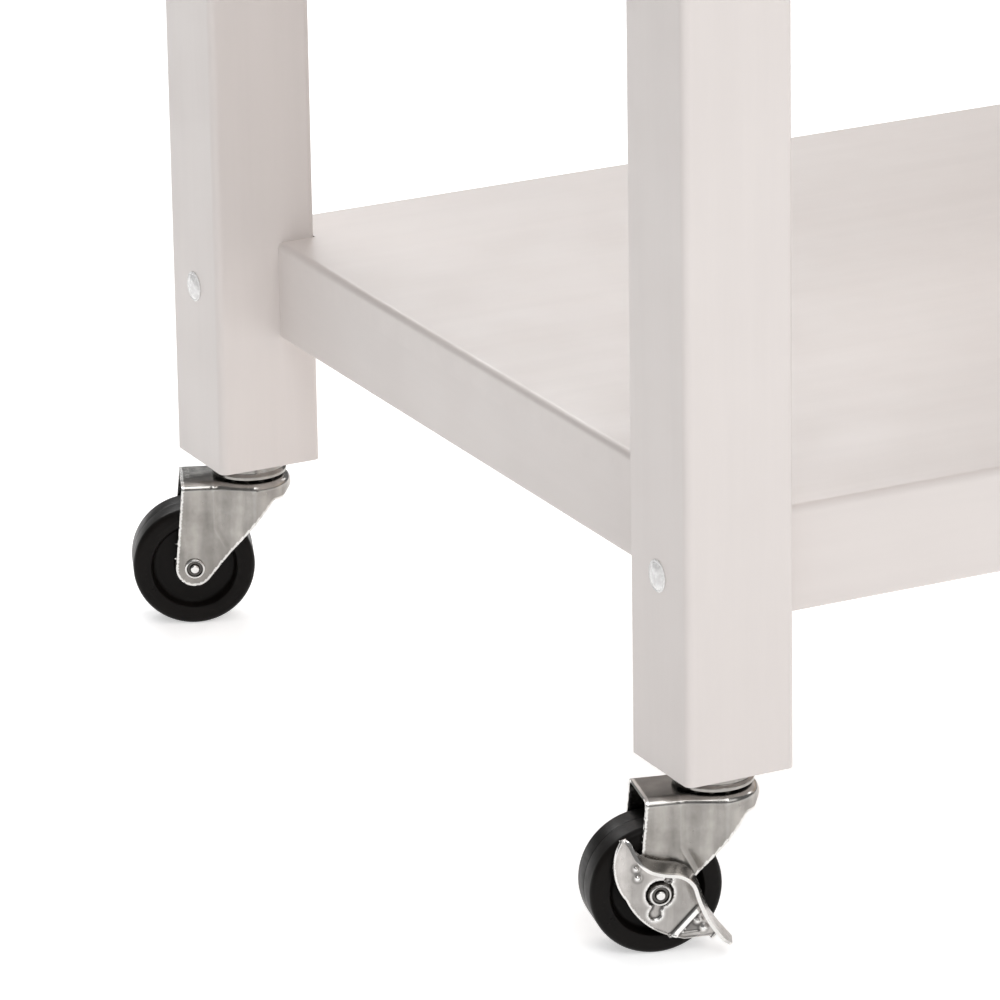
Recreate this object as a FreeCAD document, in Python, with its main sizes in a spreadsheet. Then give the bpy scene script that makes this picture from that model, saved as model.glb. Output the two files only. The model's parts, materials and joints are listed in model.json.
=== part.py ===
import FreeCAD, Part
import Sketcher
import math
import os

# Rolling utility cart: four square painted posts, two boxed shelves, a drawer under a wooden worktop
# and four swivel casters, the front two with a brake lever.
# Millimetres. +X along the width, -Y is the front (drawer side), +Z up.
# The origin is on the floor, under the middle of the worktop.

doc = FreeCAD.newDocument("rolling_utility_cart")
sheet = doc.addObject("Spreadsheet::Sheet", "Dims")

DRIVING_DIMENSIONS = {
    # frame
    "frame_width": 840, "frame_depth": 450, "leg_width": 45, "leg_arris": 3,
    "cart_height": 870, "worktop_thickness": 25, "worktop_overhang_side": 30,
    "worktop_overhang_front": 25, "worktop_round": 3,
    "side_inset": 28, "rail_setback": 13.5, "rail_thickness": 18, "rail_arris": 1.5,
    # shelves
    "shelf_height": 41, "panel_thickness": 12, "panel_round": 3,
    "lower_shelf_above_foot": 96.5, "middle_shelf_top": 500,
    "batten_width": 40, "batten_height": 20,
    # apron and drawer
    "apron_height": 140, "top_rail_height": 20, "bottom_rail_height": 22, "drawer_gap": 2,
    "drawer_board": 12, "drawer_arris": 0.8, "drawer_length": 378,
    "drawer_side_height": 78, "drawer_side_lift": 6,
    "drawer_bottom_thickness": 6, "drawer_bottom_lift": 5, "groove_depth": 5,
    "slide_space": 13, "slide_length": 350, "slide_height": 35, "slide_sheet": 1.2,
    "slide_play": 0.6, "slide_side_play": 0.8, "slide_setback": 4,
    "knob_radius": 15, "knob_reach": 23, "knob_spacing": 374,
    # fasteners
    "bolt_radius": 3, "bolt_hole_radius": 3.25, "bolt_length": 69, "bolt_head_radius": 5,
    "bolt_head_height": 4, "counterbore_radius": 5.5, "counterbore_depth": 8,
    "cap_radius": 6.2, "cap_dome": 1.6, "cap_plug_radius": 5.4, "cap_plug_depth": 3,
    "nut_radius": 5, "nut_length": 13, "nut_from_rail_end": 32,
    "dowel_radius": 4, "dowel_length": 30, "dowel_inset": 14,
    "screw_radius": 1.75, "screw_head_radius": 3.5, "screw_head_height": 2.5,
    "panel_screw_sink": 7, "panel_screw_bite": 8, "screw_spacing": 200,
    "bracket_leg": 18, "bracket_width": 16, "bracket_sheet": 2, "bracket_screw_length": 12,
    # casters
    "caster_height": 71, "wheel_radius": 25.4, "wheel_width": 22, "wheel_edge": 2.4,
    "rim_inner_radius": 18.2, "web_width": 13, "hub_radius": 8, "hub_width": 22.4,
    "caster_lead": 24.4, "trail_angle_front": 13.5, "trail_angle_back": 22,
    "axle_radius": 3, "running_gap": 0.05,
    "axle_head_radius": 4.2, "axle_head_height": 1.9,
    "fork_half_width": 13, "fork_sheet": 1.5, "crown_sheet": 2, "crown_radius": 17.2,
    "crown_flare": 14.2, "crown_shoulder": 1, "flare_foot": 1, "flare_rise": 17,
    "tongue_end": 28.6, "fork_boss_radius": 7.75, "fork_bend": 1.2,
    "skirt_height": 8, "gusset_foot": 9.5,
    "race_cap_radius": 15.5, "race_cap_height": 7.5, "race_cap_round": 1.5, "race_gap": 1,
    "ball_radius": 1.15, "ball_ring_radius": 11.5, "ball_groove_half": 1.25, "ball_groove_depth": 0.8,
    "kingpin_radius": 5, "kingpin_head_radius": 7, "kingpin_head_height": 2, "kingpin_play": 0.3,
    "stem_radius": 4, "stem_length": 27, "socket_radius": 6, "socket_length": 30,
    # brake lever
    "lever_sheet": 1.4, "lever_play": 0.3, "lever_flange": 9, "shoe_gap": 0.4, "shoe_reach": 17,
}

for row, (alias, number) in enumerate(DRIVING_DIMENSIONS.items(), start=1):
    sheet.set(f"A{row}", alias)
    sheet.set(f"B{row}", str(number))
    sheet.setAlias(f"B{row}", alias)
doc.recompute()

BALLS_PER_RACE = 12
SIDES = (("left", -1), ("right", 1))
ENDS = (("front", -1), ("back", 1))

nodes = []


# ---------------------------------------------------------------- helpers

def value(expression):
    """Number that an expression over the sheet stands for."""
    return float(sheet.evalExpression(str(expression)))


def bind(thing, **expressions):
    for name, expression in expressions.items():
        thing.setExpression(name, str(expression))


def move(thing, x, y, z):
    """Place a thing by expressions."""
    for axis, expression in zip("xyz", (x, y, z)):
        thing.setExpression(f"Placement.Base.{axis}", str(expression))


def node(thing, label):
    """Register a finished piece under its file name."""
    thing.Label = label
    nodes.append(thing)
    return thing


def block(corner, size):
    """Box from its lowest corner."""
    box = doc.addObject("Part::Box", "block")
    bind(box, Length=size[0], Width=size[1], Height=size[2])
    move(box, *corner)
    return box


AXIS_TURN = {"X": (FreeCAD.Vector(0, 1, 0), 90), "Y": (FreeCAD.Vector(1, 0, 0), -90),
             "Z": (FreeCAD.Vector(0, 0, 1), 0)}


def rod(base, axis, radius, length):
    """Cylinder from its base centre along +X, +Y or +Z."""
    cylinder = doc.addObject("Part::Cylinder", "rod")
    bind(cylinder, Radius=radius, Height=length)
    turn_axis, turn = AXIS_TURN[axis]
    cylinder.Placement.Rotation = FreeCAD.Rotation(turn_axis, turn)
    move(cylinder, *base)
    return cylinder


def low_corner(sign, near, far):
    """Lower end of a stretch near..far that lies on the side given by sign."""
    return f"({near})" if sign > 0 else f"(-({far}))"


def round_edges(solid, radius, wanted):
    """Fillet the edges for which wanted(edge) is true."""
    doc.recompute()
    size = value(radius)
    chosen = [(i + 1, size, size) for i, edge in enumerate(solid.Shape.Edges) if wanted(edge)]
    fillet = doc.addObject("Part::Fillet", "rounded")
    fillet.Base = solid
    fillet.Edges = chosen
    return fillet


def runs_along(axis):
    """Test for straight edges parallel to an axis."""
    direction = {"X": FreeCAD.Vector(1, 0, 0), "Y": FreeCAD.Vector(0, 1, 0),
                 "Z": FreeCAD.Vector(0, 0, 1)}[axis]

    def test(edge):
        run = edge.Vertexes[-1].Point - edge.Vertexes[0].Point
        return run.Length > 0 and run.normalize().cross(direction).Length < 1e-6
    return test


def cut(solid, tools):
    """Solid less its tools."""
    if not tools:
        return solid
    joined = tools[0]
    if len(tools) > 1:
        joined = doc.addObject("Part::MultiFuse", "tools")
        joined.Shapes = tools
    result = doc.addObject("Part::Cut", "cut")
    result.Base = solid
    result.Tool = joined
    return result


def group(label, pieces):
    """Identical small pieces that share one node."""
    compound = doc.addObject("Part::Compound", "group")
    compound.Links = pieces
    return node(compound, label)


def fuse(pieces):
    joined = doc.addObject("Part::MultiFuse", "fused")
    joined.Shapes = pieces
    return joined


def outline(sketch, points):
    """Closed outline of straight runs; each corner is a pair of expressions."""
    corners = [FreeCAD.Vector(value(across), value(up), 0) for across, up in points]
    count = len(corners)
    for i in range(count):
        sketch.addGeometry(Part.LineSegment(corners[i], corners[(i + 1) % count]))
    for i in range(count):
        sketch.addConstraint(Sketcher.Constraint("Coincident", i, 2, (i + 1) % count, 1))
    for i, (across, up) in enumerate(points):
        for kind, expression, number in (("DistanceX", across, corners[i].x),
                                         ("DistanceY", up, corners[i].y)):
            index = sketch.addConstraint(Sketcher.Constraint(kind, -1, 1, i, 1, number))
            name = f"{kind}{i}"
            sketch.renameConstraint(index, name)
            sketch.setExpression(f"Constraints.{name}", str(expression))


def turned(points, about):
    """Body turned about its own Y or Z axis from (radius, height) corners."""
    body = doc.addObject("PartDesign::Body", "turned")
    sketch = body.newObject("Sketcher::SketchObject", "turned_outline")
    role = {"Y": "XY_Plane", "Z": "XZ_Plane"}[about]
    plane = [item for item in body.Origin.OriginFeatures if item.Role == role][0]
    sketch.AttachmentSupport = [(plane, "")]
    sketch.MapMode = "FlatFace"
    outline(sketch, points)
    revolution = body.newObject("PartDesign::Revolution", "turning")
    revolution.Profile = sketch
    revolution.ReferenceAxis = (sketch, ["V_Axis"])
    revolution.Angle = 360
    doc.recompute()
    return body


def round_body_edges(body, radius, wanted):
    """Fillet feature at the end of a body."""
    doc.recompute()
    base = body.Tip
    names = [f"Edge{i + 1}" for i, edge in enumerate(base.Shape.Edges) if wanted(edge)]
    fillet = body.newObject("PartDesign::Fillet", "edge_round")
    fillet.Base = (base, names)
    bind(fillet, Radius=radius)
    body.Tip = fillet
    return body


def upright_sketch(name):
    """Sketch whose x is X and whose y is Z."""
    sketch = doc.addObject("Sketcher::SketchObject", name)
    sketch.Placement.Rotation = FreeCAD.Rotation(FreeCAD.Vector(1, 0, 0), 90)
    return sketch


def extruded(profile, direction, start, length):
    """Solid from a profile, from start to start + length along a direction."""
    solid = doc.addObject("Part::Extrusion", "extruded")
    solid.Base = profile
    solid.DirMode = "Custom"
    solid.Dir = direction
    bind(solid, LengthFwd=f"({start}) + ({length})", LengthRev=f"-({start})")
    solid.Solid = True
    return solid


# ---------------------------------------------------------------- shared places, as expressions

half_width = "(Dims.frame_width / 2)"
half_depth = "(Dims.frame_depth / 2)"
leg = "Dims.leg_width"
inner_x = f"({half_width} - {leg})"
inner_y = f"({half_depth} - {leg})"
leg_x = f"({half_width} - {leg} / 2)"
leg_y = f"({half_depth} - {leg} / 2)"
rail = "Dims.rail_thickness"
side_out = f"({half_width} - Dims.side_inset)"
side_in = f"({side_out} - {rail})"
rail_out = f"({half_depth} - Dims.rail_setback)"
rail_in = f"({rail_out} - {rail})"
rail_mid = f"({rail_out} - {rail} / 2)"
foot = "Dims.caster_height"
leg_top = "(Dims.cart_height - Dims.worktop_thickness)"
apron_bottom = f"({leg_top} - Dims.apron_height)"
shelf_tops = {"lower": f"({foot} + Dims.lower_shelf_above_foot)", "middle": "(Dims.middle_shelf_top)"}
bolt_levels = [f"({top} - Dims.shelf_height / 2)" for top in shelf_tops.values()]
bolt_levels += [f"({apron_bottom} + Dims.bottom_rail_height / 2)",
                f"({leg_top} - Dims.top_rail_height / 2)"]


def board(label, corner, size, along, tools=(), arris="Dims.rail_arris", square_top=False):
    """Straight board with its long edges eased, less its holes. Its upper edges may stay square."""
    top = value(f"{corner[2]} + {size[2]}")
    is_long = runs_along(along)

    def wanted(edge):
        return is_long(edge) and not (square_top and edge.BoundBox.ZMax > top - 1e-6)

    eased = round_edges(block(corner, size), arris, wanted)
    return node(cut(eased, list(tools)), label)


# ---------------------------------------------------------------- fasteners and their holes

def bolt_parts(sign_x, sign_y, level):
    """Bolt, barrel nut and cover cap of one frame joint, built at their places."""
    y = f"({sign_y} * {rail_mid})"
    seat = f"({half_width} - Dims.counterbore_depth)"
    shank_low = low_corner(sign_x, f"{seat} - Dims.bolt_length", seat)
    head_low = low_corner(sign_x, seat, f"{seat} + Dims.bolt_head_height")
    nut_x = f"({sign_x} * ({inner_x} - Dims.nut_from_rail_end))"
    nut_low = low_corner(sign_y, rail_in, f"{rail_in} + Dims.nut_length")
    shank = rod((shank_low, y, level), "X", "Dims.bolt_radius", "Dims.bolt_length")
    head = rod((head_low, y, level), "X", "Dims.bolt_head_radius", "Dims.bolt_head_height")
    nut = rod((nut_x, nut_low, level), "Y", "Dims.nut_radius", "Dims.nut_length")
    nut_hole = rod((shank_low, y, level), "X", "Dims.bolt_radius", "Dims.bolt_length")
    plug_low = low_corner(sign_x, f"{half_width} - Dims.cap_plug_depth", half_width)
    plug = rod((plug_low, y, level), "X", "Dims.cap_plug_radius", "Dims.cap_plug_depth")
    dome_low = low_corner(sign_x, half_width, f"{half_width} + Dims.cap_dome")
    dome = rod((dome_low, y, level), "X", "Dims.cap_radius", "Dims.cap_dome")
    outer_face = value(f"{sign_x} * ({half_width} + Dims.cap_dome)")
    domed = round_edges(fuse([plug, dome]), "Dims.cap_dome * 0.8",
                        lambda edge: abs(edge.BoundBox.XMin - outer_face) < 1e-6
                        and edge.BoundBox.XLength < 1e-6)
    return fuse([shank, head]), cut(nut, [nut_hole]), domed


def leg_bolt_holes(sign_x, sign_y):
    """Clearance hole and counterbore through a leg at every bolt level."""
    holes = []
    for level in bolt_levels:
        y = f"({sign_y} * {rail_mid})"
        through = low_corner(sign_x, inner_x, half_width)
        sink = low_corner(sign_x, f"{half_width} - Dims.counterbore_depth", half_width)
        holes.append(rod((through, y, level), "X", "Dims.bolt_hole_radius", leg))
        holes.append(rod((sink, y, level), "X", "Dims.counterbore_radius", "Dims.counterbore_depth"))
    return holes


def rail_bolt_holes(sign_y, levels):
    """Bolt holes in both ends of a long rail, and the cross holes for the barrel nuts."""
    holes = []
    reach = "(Dims.bolt_length - Dims.leg_width + Dims.counterbore_depth + 2)"
    for _, sign_x in SIDES:
        for level in levels:
            low = low_corner(sign_x, f"{inner_x} - {reach}", inner_x)
            nut_x = f"({sign_x} * ({inner_x} - Dims.nut_from_rail_end))"
            nut_low = low_corner(sign_y, rail_in, f"{rail_in} + Dims.nut_length")
            holes.append(rod((low, f"({sign_y} * {rail_mid})", level), "X",
                             "Dims.bolt_hole_radius", reach))
            holes.append(rod((nut_x, nut_low, level), "Y", "Dims.nut_radius", "Dims.nut_length"))
    return holes


shelf_under = {name: f"({top} - Dims.shelf_height)" for name, top in shelf_tops.items()}
rail_height = "(Dims.shelf_height - Dims.panel_thickness)"
dowel_levels = [f"({under} + {rail_height} / 2)" for under in shelf_under.values()]
dowel_levels += [f"({apron_bottom} + Dims.dowel_inset * 2)", f"({leg_top} - Dims.dowel_inset * 2)"]
dowel_x = f"({side_out} - {rail} / 2)"


def dowel(sign_x, sign_y, level):
    """Dowel across one joint of a side rail and a leg, half its length in each."""
    low = low_corner(sign_y, f"{inner_y} - Dims.dowel_length / 2", f"{inner_y} + Dims.dowel_length / 2")
    return rod((f"({sign_x} * {dowel_x})", low, level), "Y", "Dims.dowel_radius", "Dims.dowel_length")


def screw(base, direction, length):
    """Wood screw whose head seat is at base and whose shank runs along +-X, +-Y or +Z."""
    axis, sign = direction[1], 1 if direction[0] == "+" else -1
    places = {"shank": (0, length) if sign > 0 else (f"-({length})", length),
              "head": ("-Dims.screw_head_height", "Dims.screw_head_height") if sign > 0
              else (0, "Dims.screw_head_height")}
    pieces = []
    for part, radius in (("shank", "Dims.screw_radius"), ("head", "Dims.screw_head_radius")):
        start, run = places[part]
        spot = list(base)
        index = "XYZ".index(axis)
        spot[index] = f"({spot[index]} + ({start}))"
        pieces.append(rod(spot, axis, radius, run))
    return pieces


# ---------------------------------------------------------------- legs

for end, sign_y in ENDS:
    for side, sign_x in SIDES:
        corner = (low_corner(sign_x, inner_x, half_width), low_corner(sign_y, inner_y, half_depth), foot)
        post = round_edges(block(corner, (leg, leg, f"{leg_top} - {foot}")), "Dims.leg_arris",
                           runs_along("Z"))
        holes = leg_bolt_holes(sign_x, sign_y)
        holes += [dowel(sign_x, sign_y, level) for level in dowel_levels]
        holes.append(rod((f"({sign_x} * {leg_x})", f"({sign_y} * {leg_y})", foot), "Z",
                         "Dims.socket_radius", "Dims.socket_length"))
        node(cut(post, holes), f"leg_{end}_{side}")

# ---------------------------------------------------------------- shelves

panel_screws = []
for name, top in shelf_tops.items():
    under = shelf_under[name]
    level = f"({top} - Dims.shelf_height / 2)"
    panel_low = f"({top} - Dims.panel_thickness)"
    screw_x = [f"({step} * Dims.screw_spacing)" for step in (-1.5, -0.5, 0.5, 1.5)]

    shank_run = f"({rail_height} - Dims.panel_screw_sink + Dims.panel_screw_bite)"
    shanks = {-1: [], 1: []}
    for _, sign_y in ENDS:
        for x in screw_x:
            seat = f"({under} + Dims.panel_screw_sink)"
            shank, head = screw((x, f"({sign_y} * {rail_mid})", seat), "+Z", shank_run)
            panel_screws.append(fuse([shank, head]))
            shanks[sign_y].append((x, seat))

    panel = round_edges(
        block((f"-{side_out}", f"-{rail_out}", panel_low),
              (f"{side_out} * 2", f"{rail_out} * 2", "Dims.panel_thickness")),
        "Dims.panel_round", lambda edge: edge.BoundBox.ZMin > value(top) - 1e-6)
    notch_size = (leg, leg, "Dims.panel_thickness * 2")
    notches = [block((low_corner(sign_x, inner_x, half_width), low_corner(sign_y, inner_y, half_depth),
                      f"{panel_low} - Dims.panel_thickness / 2"), notch_size)
               for _, sign_x in SIDES for _, sign_y in ENDS]
    bites = [rod((x, f"({sign_y} * {rail_mid})", panel_low), "Z", "Dims.screw_radius",
                 "Dims.panel_screw_bite") for _, sign_y in ENDS for x in screw_x]
    node(cut(panel, notches + bites), f"{name}_shelf_panel")

    for end, sign_y in ENDS:
        holes = rail_bolt_holes(sign_y, [level])
        for x, seat in shanks[sign_y]:
            spot = f"({sign_y} * {rail_mid})"
            holes.append(rod((x, spot, under), "Z", "Dims.screw_head_radius", "Dims.panel_screw_sink"))
            holes.append(rod((x, spot, seat), "Z", "Dims.screw_radius", rail_height))
        board(f"{name}_shelf_{end}_rail", (f"-{inner_x}", low_corner(sign_y, rail_in, rail_out), under),
              (f"{inner_x} * 2", rail, rail_height), "X", holes, square_top=True)
    for side, sign_x in SIDES:
        holes = [dowel(sign_x, sign_y, dowel_level) for _, sign_y in ENDS
                 for dowel_level in dowel_levels]
        board(f"{name}_shelf_{side}_rail", (low_corner(sign_x, side_in, side_out), f"-{inner_y}", under),
              (rail, f"{inner_y} * 2", rail_height), "Y", holes, square_top=True)
    board(f"{name}_shelf_batten", ("-Dims.batten_width / 2", f"-{rail_in}",
                                   f"({panel_low} - Dims.batten_height)"),
          ("Dims.batten_width", f"{rail_in} * 2", "Dims.batten_height"), "Y")

# ---------------------------------------------------------------- aprons, drawer rails and worktop

bracket_drop = f"({leg_top} - Dims.bracket_leg * 0.6)"
bracket_out = "(Dims.bracket_leg * 0.6)"
bracket_y = "(Dims.frame_depth / 4)"
bracket_x = "(Dims.frame_width / 4)"


def bracket(axis, sign, face, along):
    """Angle bracket in the corner under the worktop, with its two screws.

    It stands on a board whose inner face is at sign * face on the axis, at a place along the board."""
    face_low = low_corner(sign, f"{face} - Dims.bracket_sheet", face)
    arm_low = low_corner(sign, f"{face} - Dims.bracket_leg", face)
    start = f"({along} - Dims.bracket_width / 2)"
    upright_z = f"({leg_top} - Dims.bracket_leg)"
    arm_z = f"({leg_top} - Dims.bracket_sheet)"
    order = (lambda a, b: (a, b)) if axis == "X" else (lambda a, b: (b, a))
    upright = block((*order(face_low, start), upright_z),
                    (*order("Dims.bracket_sheet", "Dims.bracket_width"), "Dims.bracket_leg"))
    arm = block((*order(arm_low, start), arm_z),
                (*order("Dims.bracket_leg", "Dims.bracket_width"), "Dims.bracket_sheet"))
    into_board = screw((*order(f"({sign} * ({face} - Dims.bracket_sheet))", along), bracket_drop),
                       ("+" if sign > 0 else "-") + axis, "Dims.bracket_screw_length")
    into_top = screw((*order(f"({sign} * ({face} - {bracket_out}))", along), arm_z), "+Z",
                     "Dims.bracket_screw_length")
    return cut(fuse([upright, arm]), [into_board[0], into_top[0]]), into_board, into_top


bracket_sets = {"left": [bracket("X", -1, side_in, f"({step} * {bracket_y})") for step in (-1, 1)],
                "right": [bracket("X", 1, side_in, f"({step} * {bracket_y})") for step in (-1, 1)],
                "front": [bracket("Y", -1, rail_in, f"({step} * {bracket_x})") for step in (-1, 1)],
                "back": [bracket("Y", 1, rail_in, f"({step} * {bracket_x})") for step in (-1, 1)]}

slide_level = f"({apron_bottom} + Dims.bottom_rail_height + Dims.drawer_gap + Dims.drawer_side_lift" \
              f" + Dims.drawer_side_height / 2)"

for side, sign_x in SIDES:
    holes = [dowel(sign_x, sign_y, level) for _, sign_y in ENDS for level in dowel_levels]
    holes += [into_board[0] for _, into_board, _ in bracket_sets[side]]
    board(f"{side}_apron", (low_corner(sign_x, side_in, side_out), f"-{inner_y}", apron_bottom),
          (rail, f"{inner_y} * 2", "Dims.apron_height"), "Y", holes)

for end, sign_y, levels, low, height in (
        ("back_apron", 1, bolt_levels[2:], apron_bottom, "Dims.apron_height"),
        ("drawer_top_rail", -1, bolt_levels[3:], f"({leg_top} - Dims.top_rail_height)",
         "Dims.top_rail_height"),
        ("drawer_bottom_rail", -1, bolt_levels[2:3], apron_bottom, "Dims.bottom_rail_height")):
    holes = rail_bolt_holes(sign_y, levels)
    if end != "drawer_bottom_rail":
        holes += [into_board[0] for _, into_board, _ in bracket_sets["back" if sign_y > 0 else "front"]]
    board(end, (f"-{inner_x}", low_corner(sign_y, rail_in, rail_out), low),
          (f"{inner_x} * 2", rail, height), "X", holes)

top_x = f"({half_width} + Dims.worktop_overhang_side)"
top_y = f"({half_depth} + Dims.worktop_overhang_front)"
slab = round_edges(block((f"-{top_x}", f"-{top_y}", leg_top),
                         (f"{top_x} * 2", f"{top_y} * 2", "Dims.worktop_thickness")),
                   "Dims.worktop_round", lambda edge: True)
node(cut(slab, [into_top[0] for brackets in bracket_sets.values() for _, _, into_top in brackets]),
     "worktop")

# ---------------------------------------------------------------- frame fasteners

joints = [bolt_parts(sign_x, sign_y, level) for _, sign_x in SIDES for _, sign_y in ENDS
          for level in bolt_levels]
group("frame_bolts", [bolt for bolt, _, _ in joints])
group("barrel_nuts", [nut for _, nut, _ in joints])
group("bolt_caps", [cap for _, _, cap in joints])
group("frame_dowels", [dowel(sign_x, sign_y, level) for _, sign_x in SIDES for _, sign_y in ENDS
                       for level in dowel_levels])
group("panel_screws", panel_screws)
all_brackets = [item for brackets in bracket_sets.values() for item in brackets]
group("worktop_brackets", [angle for angle, _, _ in all_brackets])
group("bracket_screws", [fuse(pieces) for _, *pairs in all_brackets for pieces in pairs])

# ---------------------------------------------------------------- drawer

drawer_low = f"({apron_bottom} + Dims.bottom_rail_height + Dims.drawer_gap)"
drawer_front_height = "(Dims.apron_height - Dims.bottom_rail_height - Dims.top_rail_height" \
                      " - Dims.drawer_gap * 2)"
front_half = f"({inner_x} - Dims.drawer_gap)"
box_out = f"({side_in} - Dims.slide_space)"
box_in = f"({box_out} - Dims.drawer_board)"
box_low = f"({drawer_low} + Dims.drawer_side_lift)"
box_back = f"(Dims.drawer_length - {rail_in})"
bottom_low = f"({box_low} + Dims.drawer_bottom_lift)"
knob_level = f"({drawer_low} + {drawer_front_height} / 2)"

bottom_corner = (f"(-{box_in} - Dims.groove_depth)", f"(-{rail_in} - Dims.groove_depth)", bottom_low)
bottom_size = (f"({box_in} + Dims.groove_depth) * 2", "Dims.drawer_length + Dims.groove_depth",
               "Dims.drawer_bottom_thickness")

knob_holes = [rod((f"({step} * Dims.knob_spacing)", f"-{rail_out}", knob_level), "Y",
                  "Dims.screw_radius", rail) for step in (-0.5, 0.5)]
board("drawer_front", (f"-{front_half}", f"-{rail_out}", drawer_low),
      (f"{front_half} * 2", rail, drawer_front_height), "X",
      knob_holes + [block(bottom_corner, bottom_size)])
for side, sign_x in SIDES:
    board(f"drawer_{side}_side", (low_corner(sign_x, box_in, box_out), f"-{rail_in}", box_low),
          ("Dims.drawer_board", "Dims.drawer_length", "Dims.drawer_side_height"), "Y",
          [block(bottom_corner, bottom_size)], arris="Dims.drawer_arris")
board("drawer_back", (f"-{box_in}", f"{box_back} - Dims.drawer_board",
                      f"({bottom_low} + Dims.drawer_bottom_thickness)"),
      (f"{box_in} * 2", "Dims.drawer_board",
       "Dims.drawer_side_height - Dims.drawer_bottom_lift - Dims.drawer_bottom_thickness"), "X",
      arris="Dims.drawer_arris")
node(block(bottom_corner, bottom_size), "drawer_bottom")

KNOB_OUTLINE = [("Dims.screw_radius", 0), ("Dims.knob_radius * 0.55", 0),
                ("Dims.knob_radius * 0.4", "-Dims.knob_reach * 0.3"),
                ("Dims.knob_radius * 0.45", "-Dims.knob_reach * 0.5"),
                ("Dims.knob_radius * 0.95", "-Dims.knob_reach * 0.6"),
                ("Dims.knob_radius", "-Dims.knob_reach * 0.78"),
                ("Dims.knob_radius * 0.72", "-Dims.knob_reach * 0.95"),
                ("Dims.knob_radius * 0.3", "-Dims.knob_reach"),
                (0, "-Dims.knob_reach"), (0, "-Dims.knob_reach * 0.6"),
                ("Dims.screw_radius", "-Dims.knob_reach * 0.6")]
knobs = []
knob_screws = []
for step in (-0.5, 0.5):
    spot = (f"({step} * Dims.knob_spacing)", f"-{rail_out}", knob_level)
    knob = turned(KNOB_OUTLINE, "Y")
    move(knob, *spot)
    knobs.append(knob)
    knob_screws.append(fuse(screw((spot[0], f"-{rail_in}", knob_level), "-Y",
                                  f"{rail} + Dims.knob_reach * 0.55")))
group("drawer_knobs", knobs)
group("knob_screws", knob_screws)

# Each slide is a channel on the apron and a narrower channel on the drawer that runs inside it.
slide_start = f"(-{rail_in} + Dims.slide_setback)"
outer_inside = "(Dims.slide_height - Dims.slide_sheet * 2)"
inner_height = f"({outer_inside} - Dims.slide_play * 2)"
inner_inside = f"({inner_height} - Dims.slide_sheet * 2)"
slide_lip = f"({box_out} + Dims.slide_side_play + Dims.slide_sheet)"
slide_edge = f"({side_in} - Dims.slide_sheet - Dims.slide_side_play)"


def channel(sign_x, outside, outside_height, hollow, hollow_height):
    """Channel between two X places, less a hollow between two others that runs out at both ends."""
    (near, far), (hollow_near, hollow_far) = outside, hollow
    shell = block((low_corner(sign_x, near, far), slide_start, f"({slide_level} - {outside_height} / 2)"),
                  (f"({far}) - ({near})", "Dims.slide_length", outside_height))
    space = block((low_corner(sign_x, hollow_near, hollow_far), f"({slide_start} - 1)",
                   f"({slide_level} - {hollow_height} / 2)"),
                  (f"({hollow_far}) - ({hollow_near})", "Dims.slide_length + 2", hollow_height))
    return cut(shell, [space])


for side, sign_x in SIDES:
    node(channel(sign_x, (slide_lip, side_in), "Dims.slide_height",
                 (f"{slide_lip} - 1", f"{side_in} - Dims.slide_sheet"), outer_inside),
         f"cabinet_slide_{side}")
    node(channel(sign_x, (box_out, slide_edge), inner_height,
                 (f"{box_out} + Dims.slide_sheet", f"{slide_edge} + 1"), inner_inside),
         f"drawer_slide_{side}")

# ---------------------------------------------------------------- casters

axle_level = "Dims.wheel_radius"
crown_top = f"({foot} - Dims.race_cap_height - Dims.race_gap)"
crown_under = f"({crown_top} - Dims.crown_sheet)"
cap_under = f"({foot} - Dims.race_cap_height)"
BODY_Y = FreeCAD.Vector(0, 1, 0)
BODY_Z = FreeCAD.Vector(0, 0, 1)


def place_caster_piece(piece, sign_x, sign_y, ahead=0, up=0):
    """Turn a caster piece so that its +X trails behind the swivel axis, and put it under its leg."""
    trail = "Dims.trail_angle_front" if sign_y < 0 else "Dims.trail_angle_back"
    piece.Placement.Rotation = FreeCAD.Rotation(BODY_Z, 180 - value(trail))
    piece.setExpression("Placement.Rotation.Angle", f"180 - {trail}")
    move(piece, f"{sign_x} * {leg_x} - cos({trail} * 1 deg) * {ahead}",
         f"{sign_y} * {leg_y} + sin({trail} * 1 deg) * {ahead}", up)
    return piece


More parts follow.
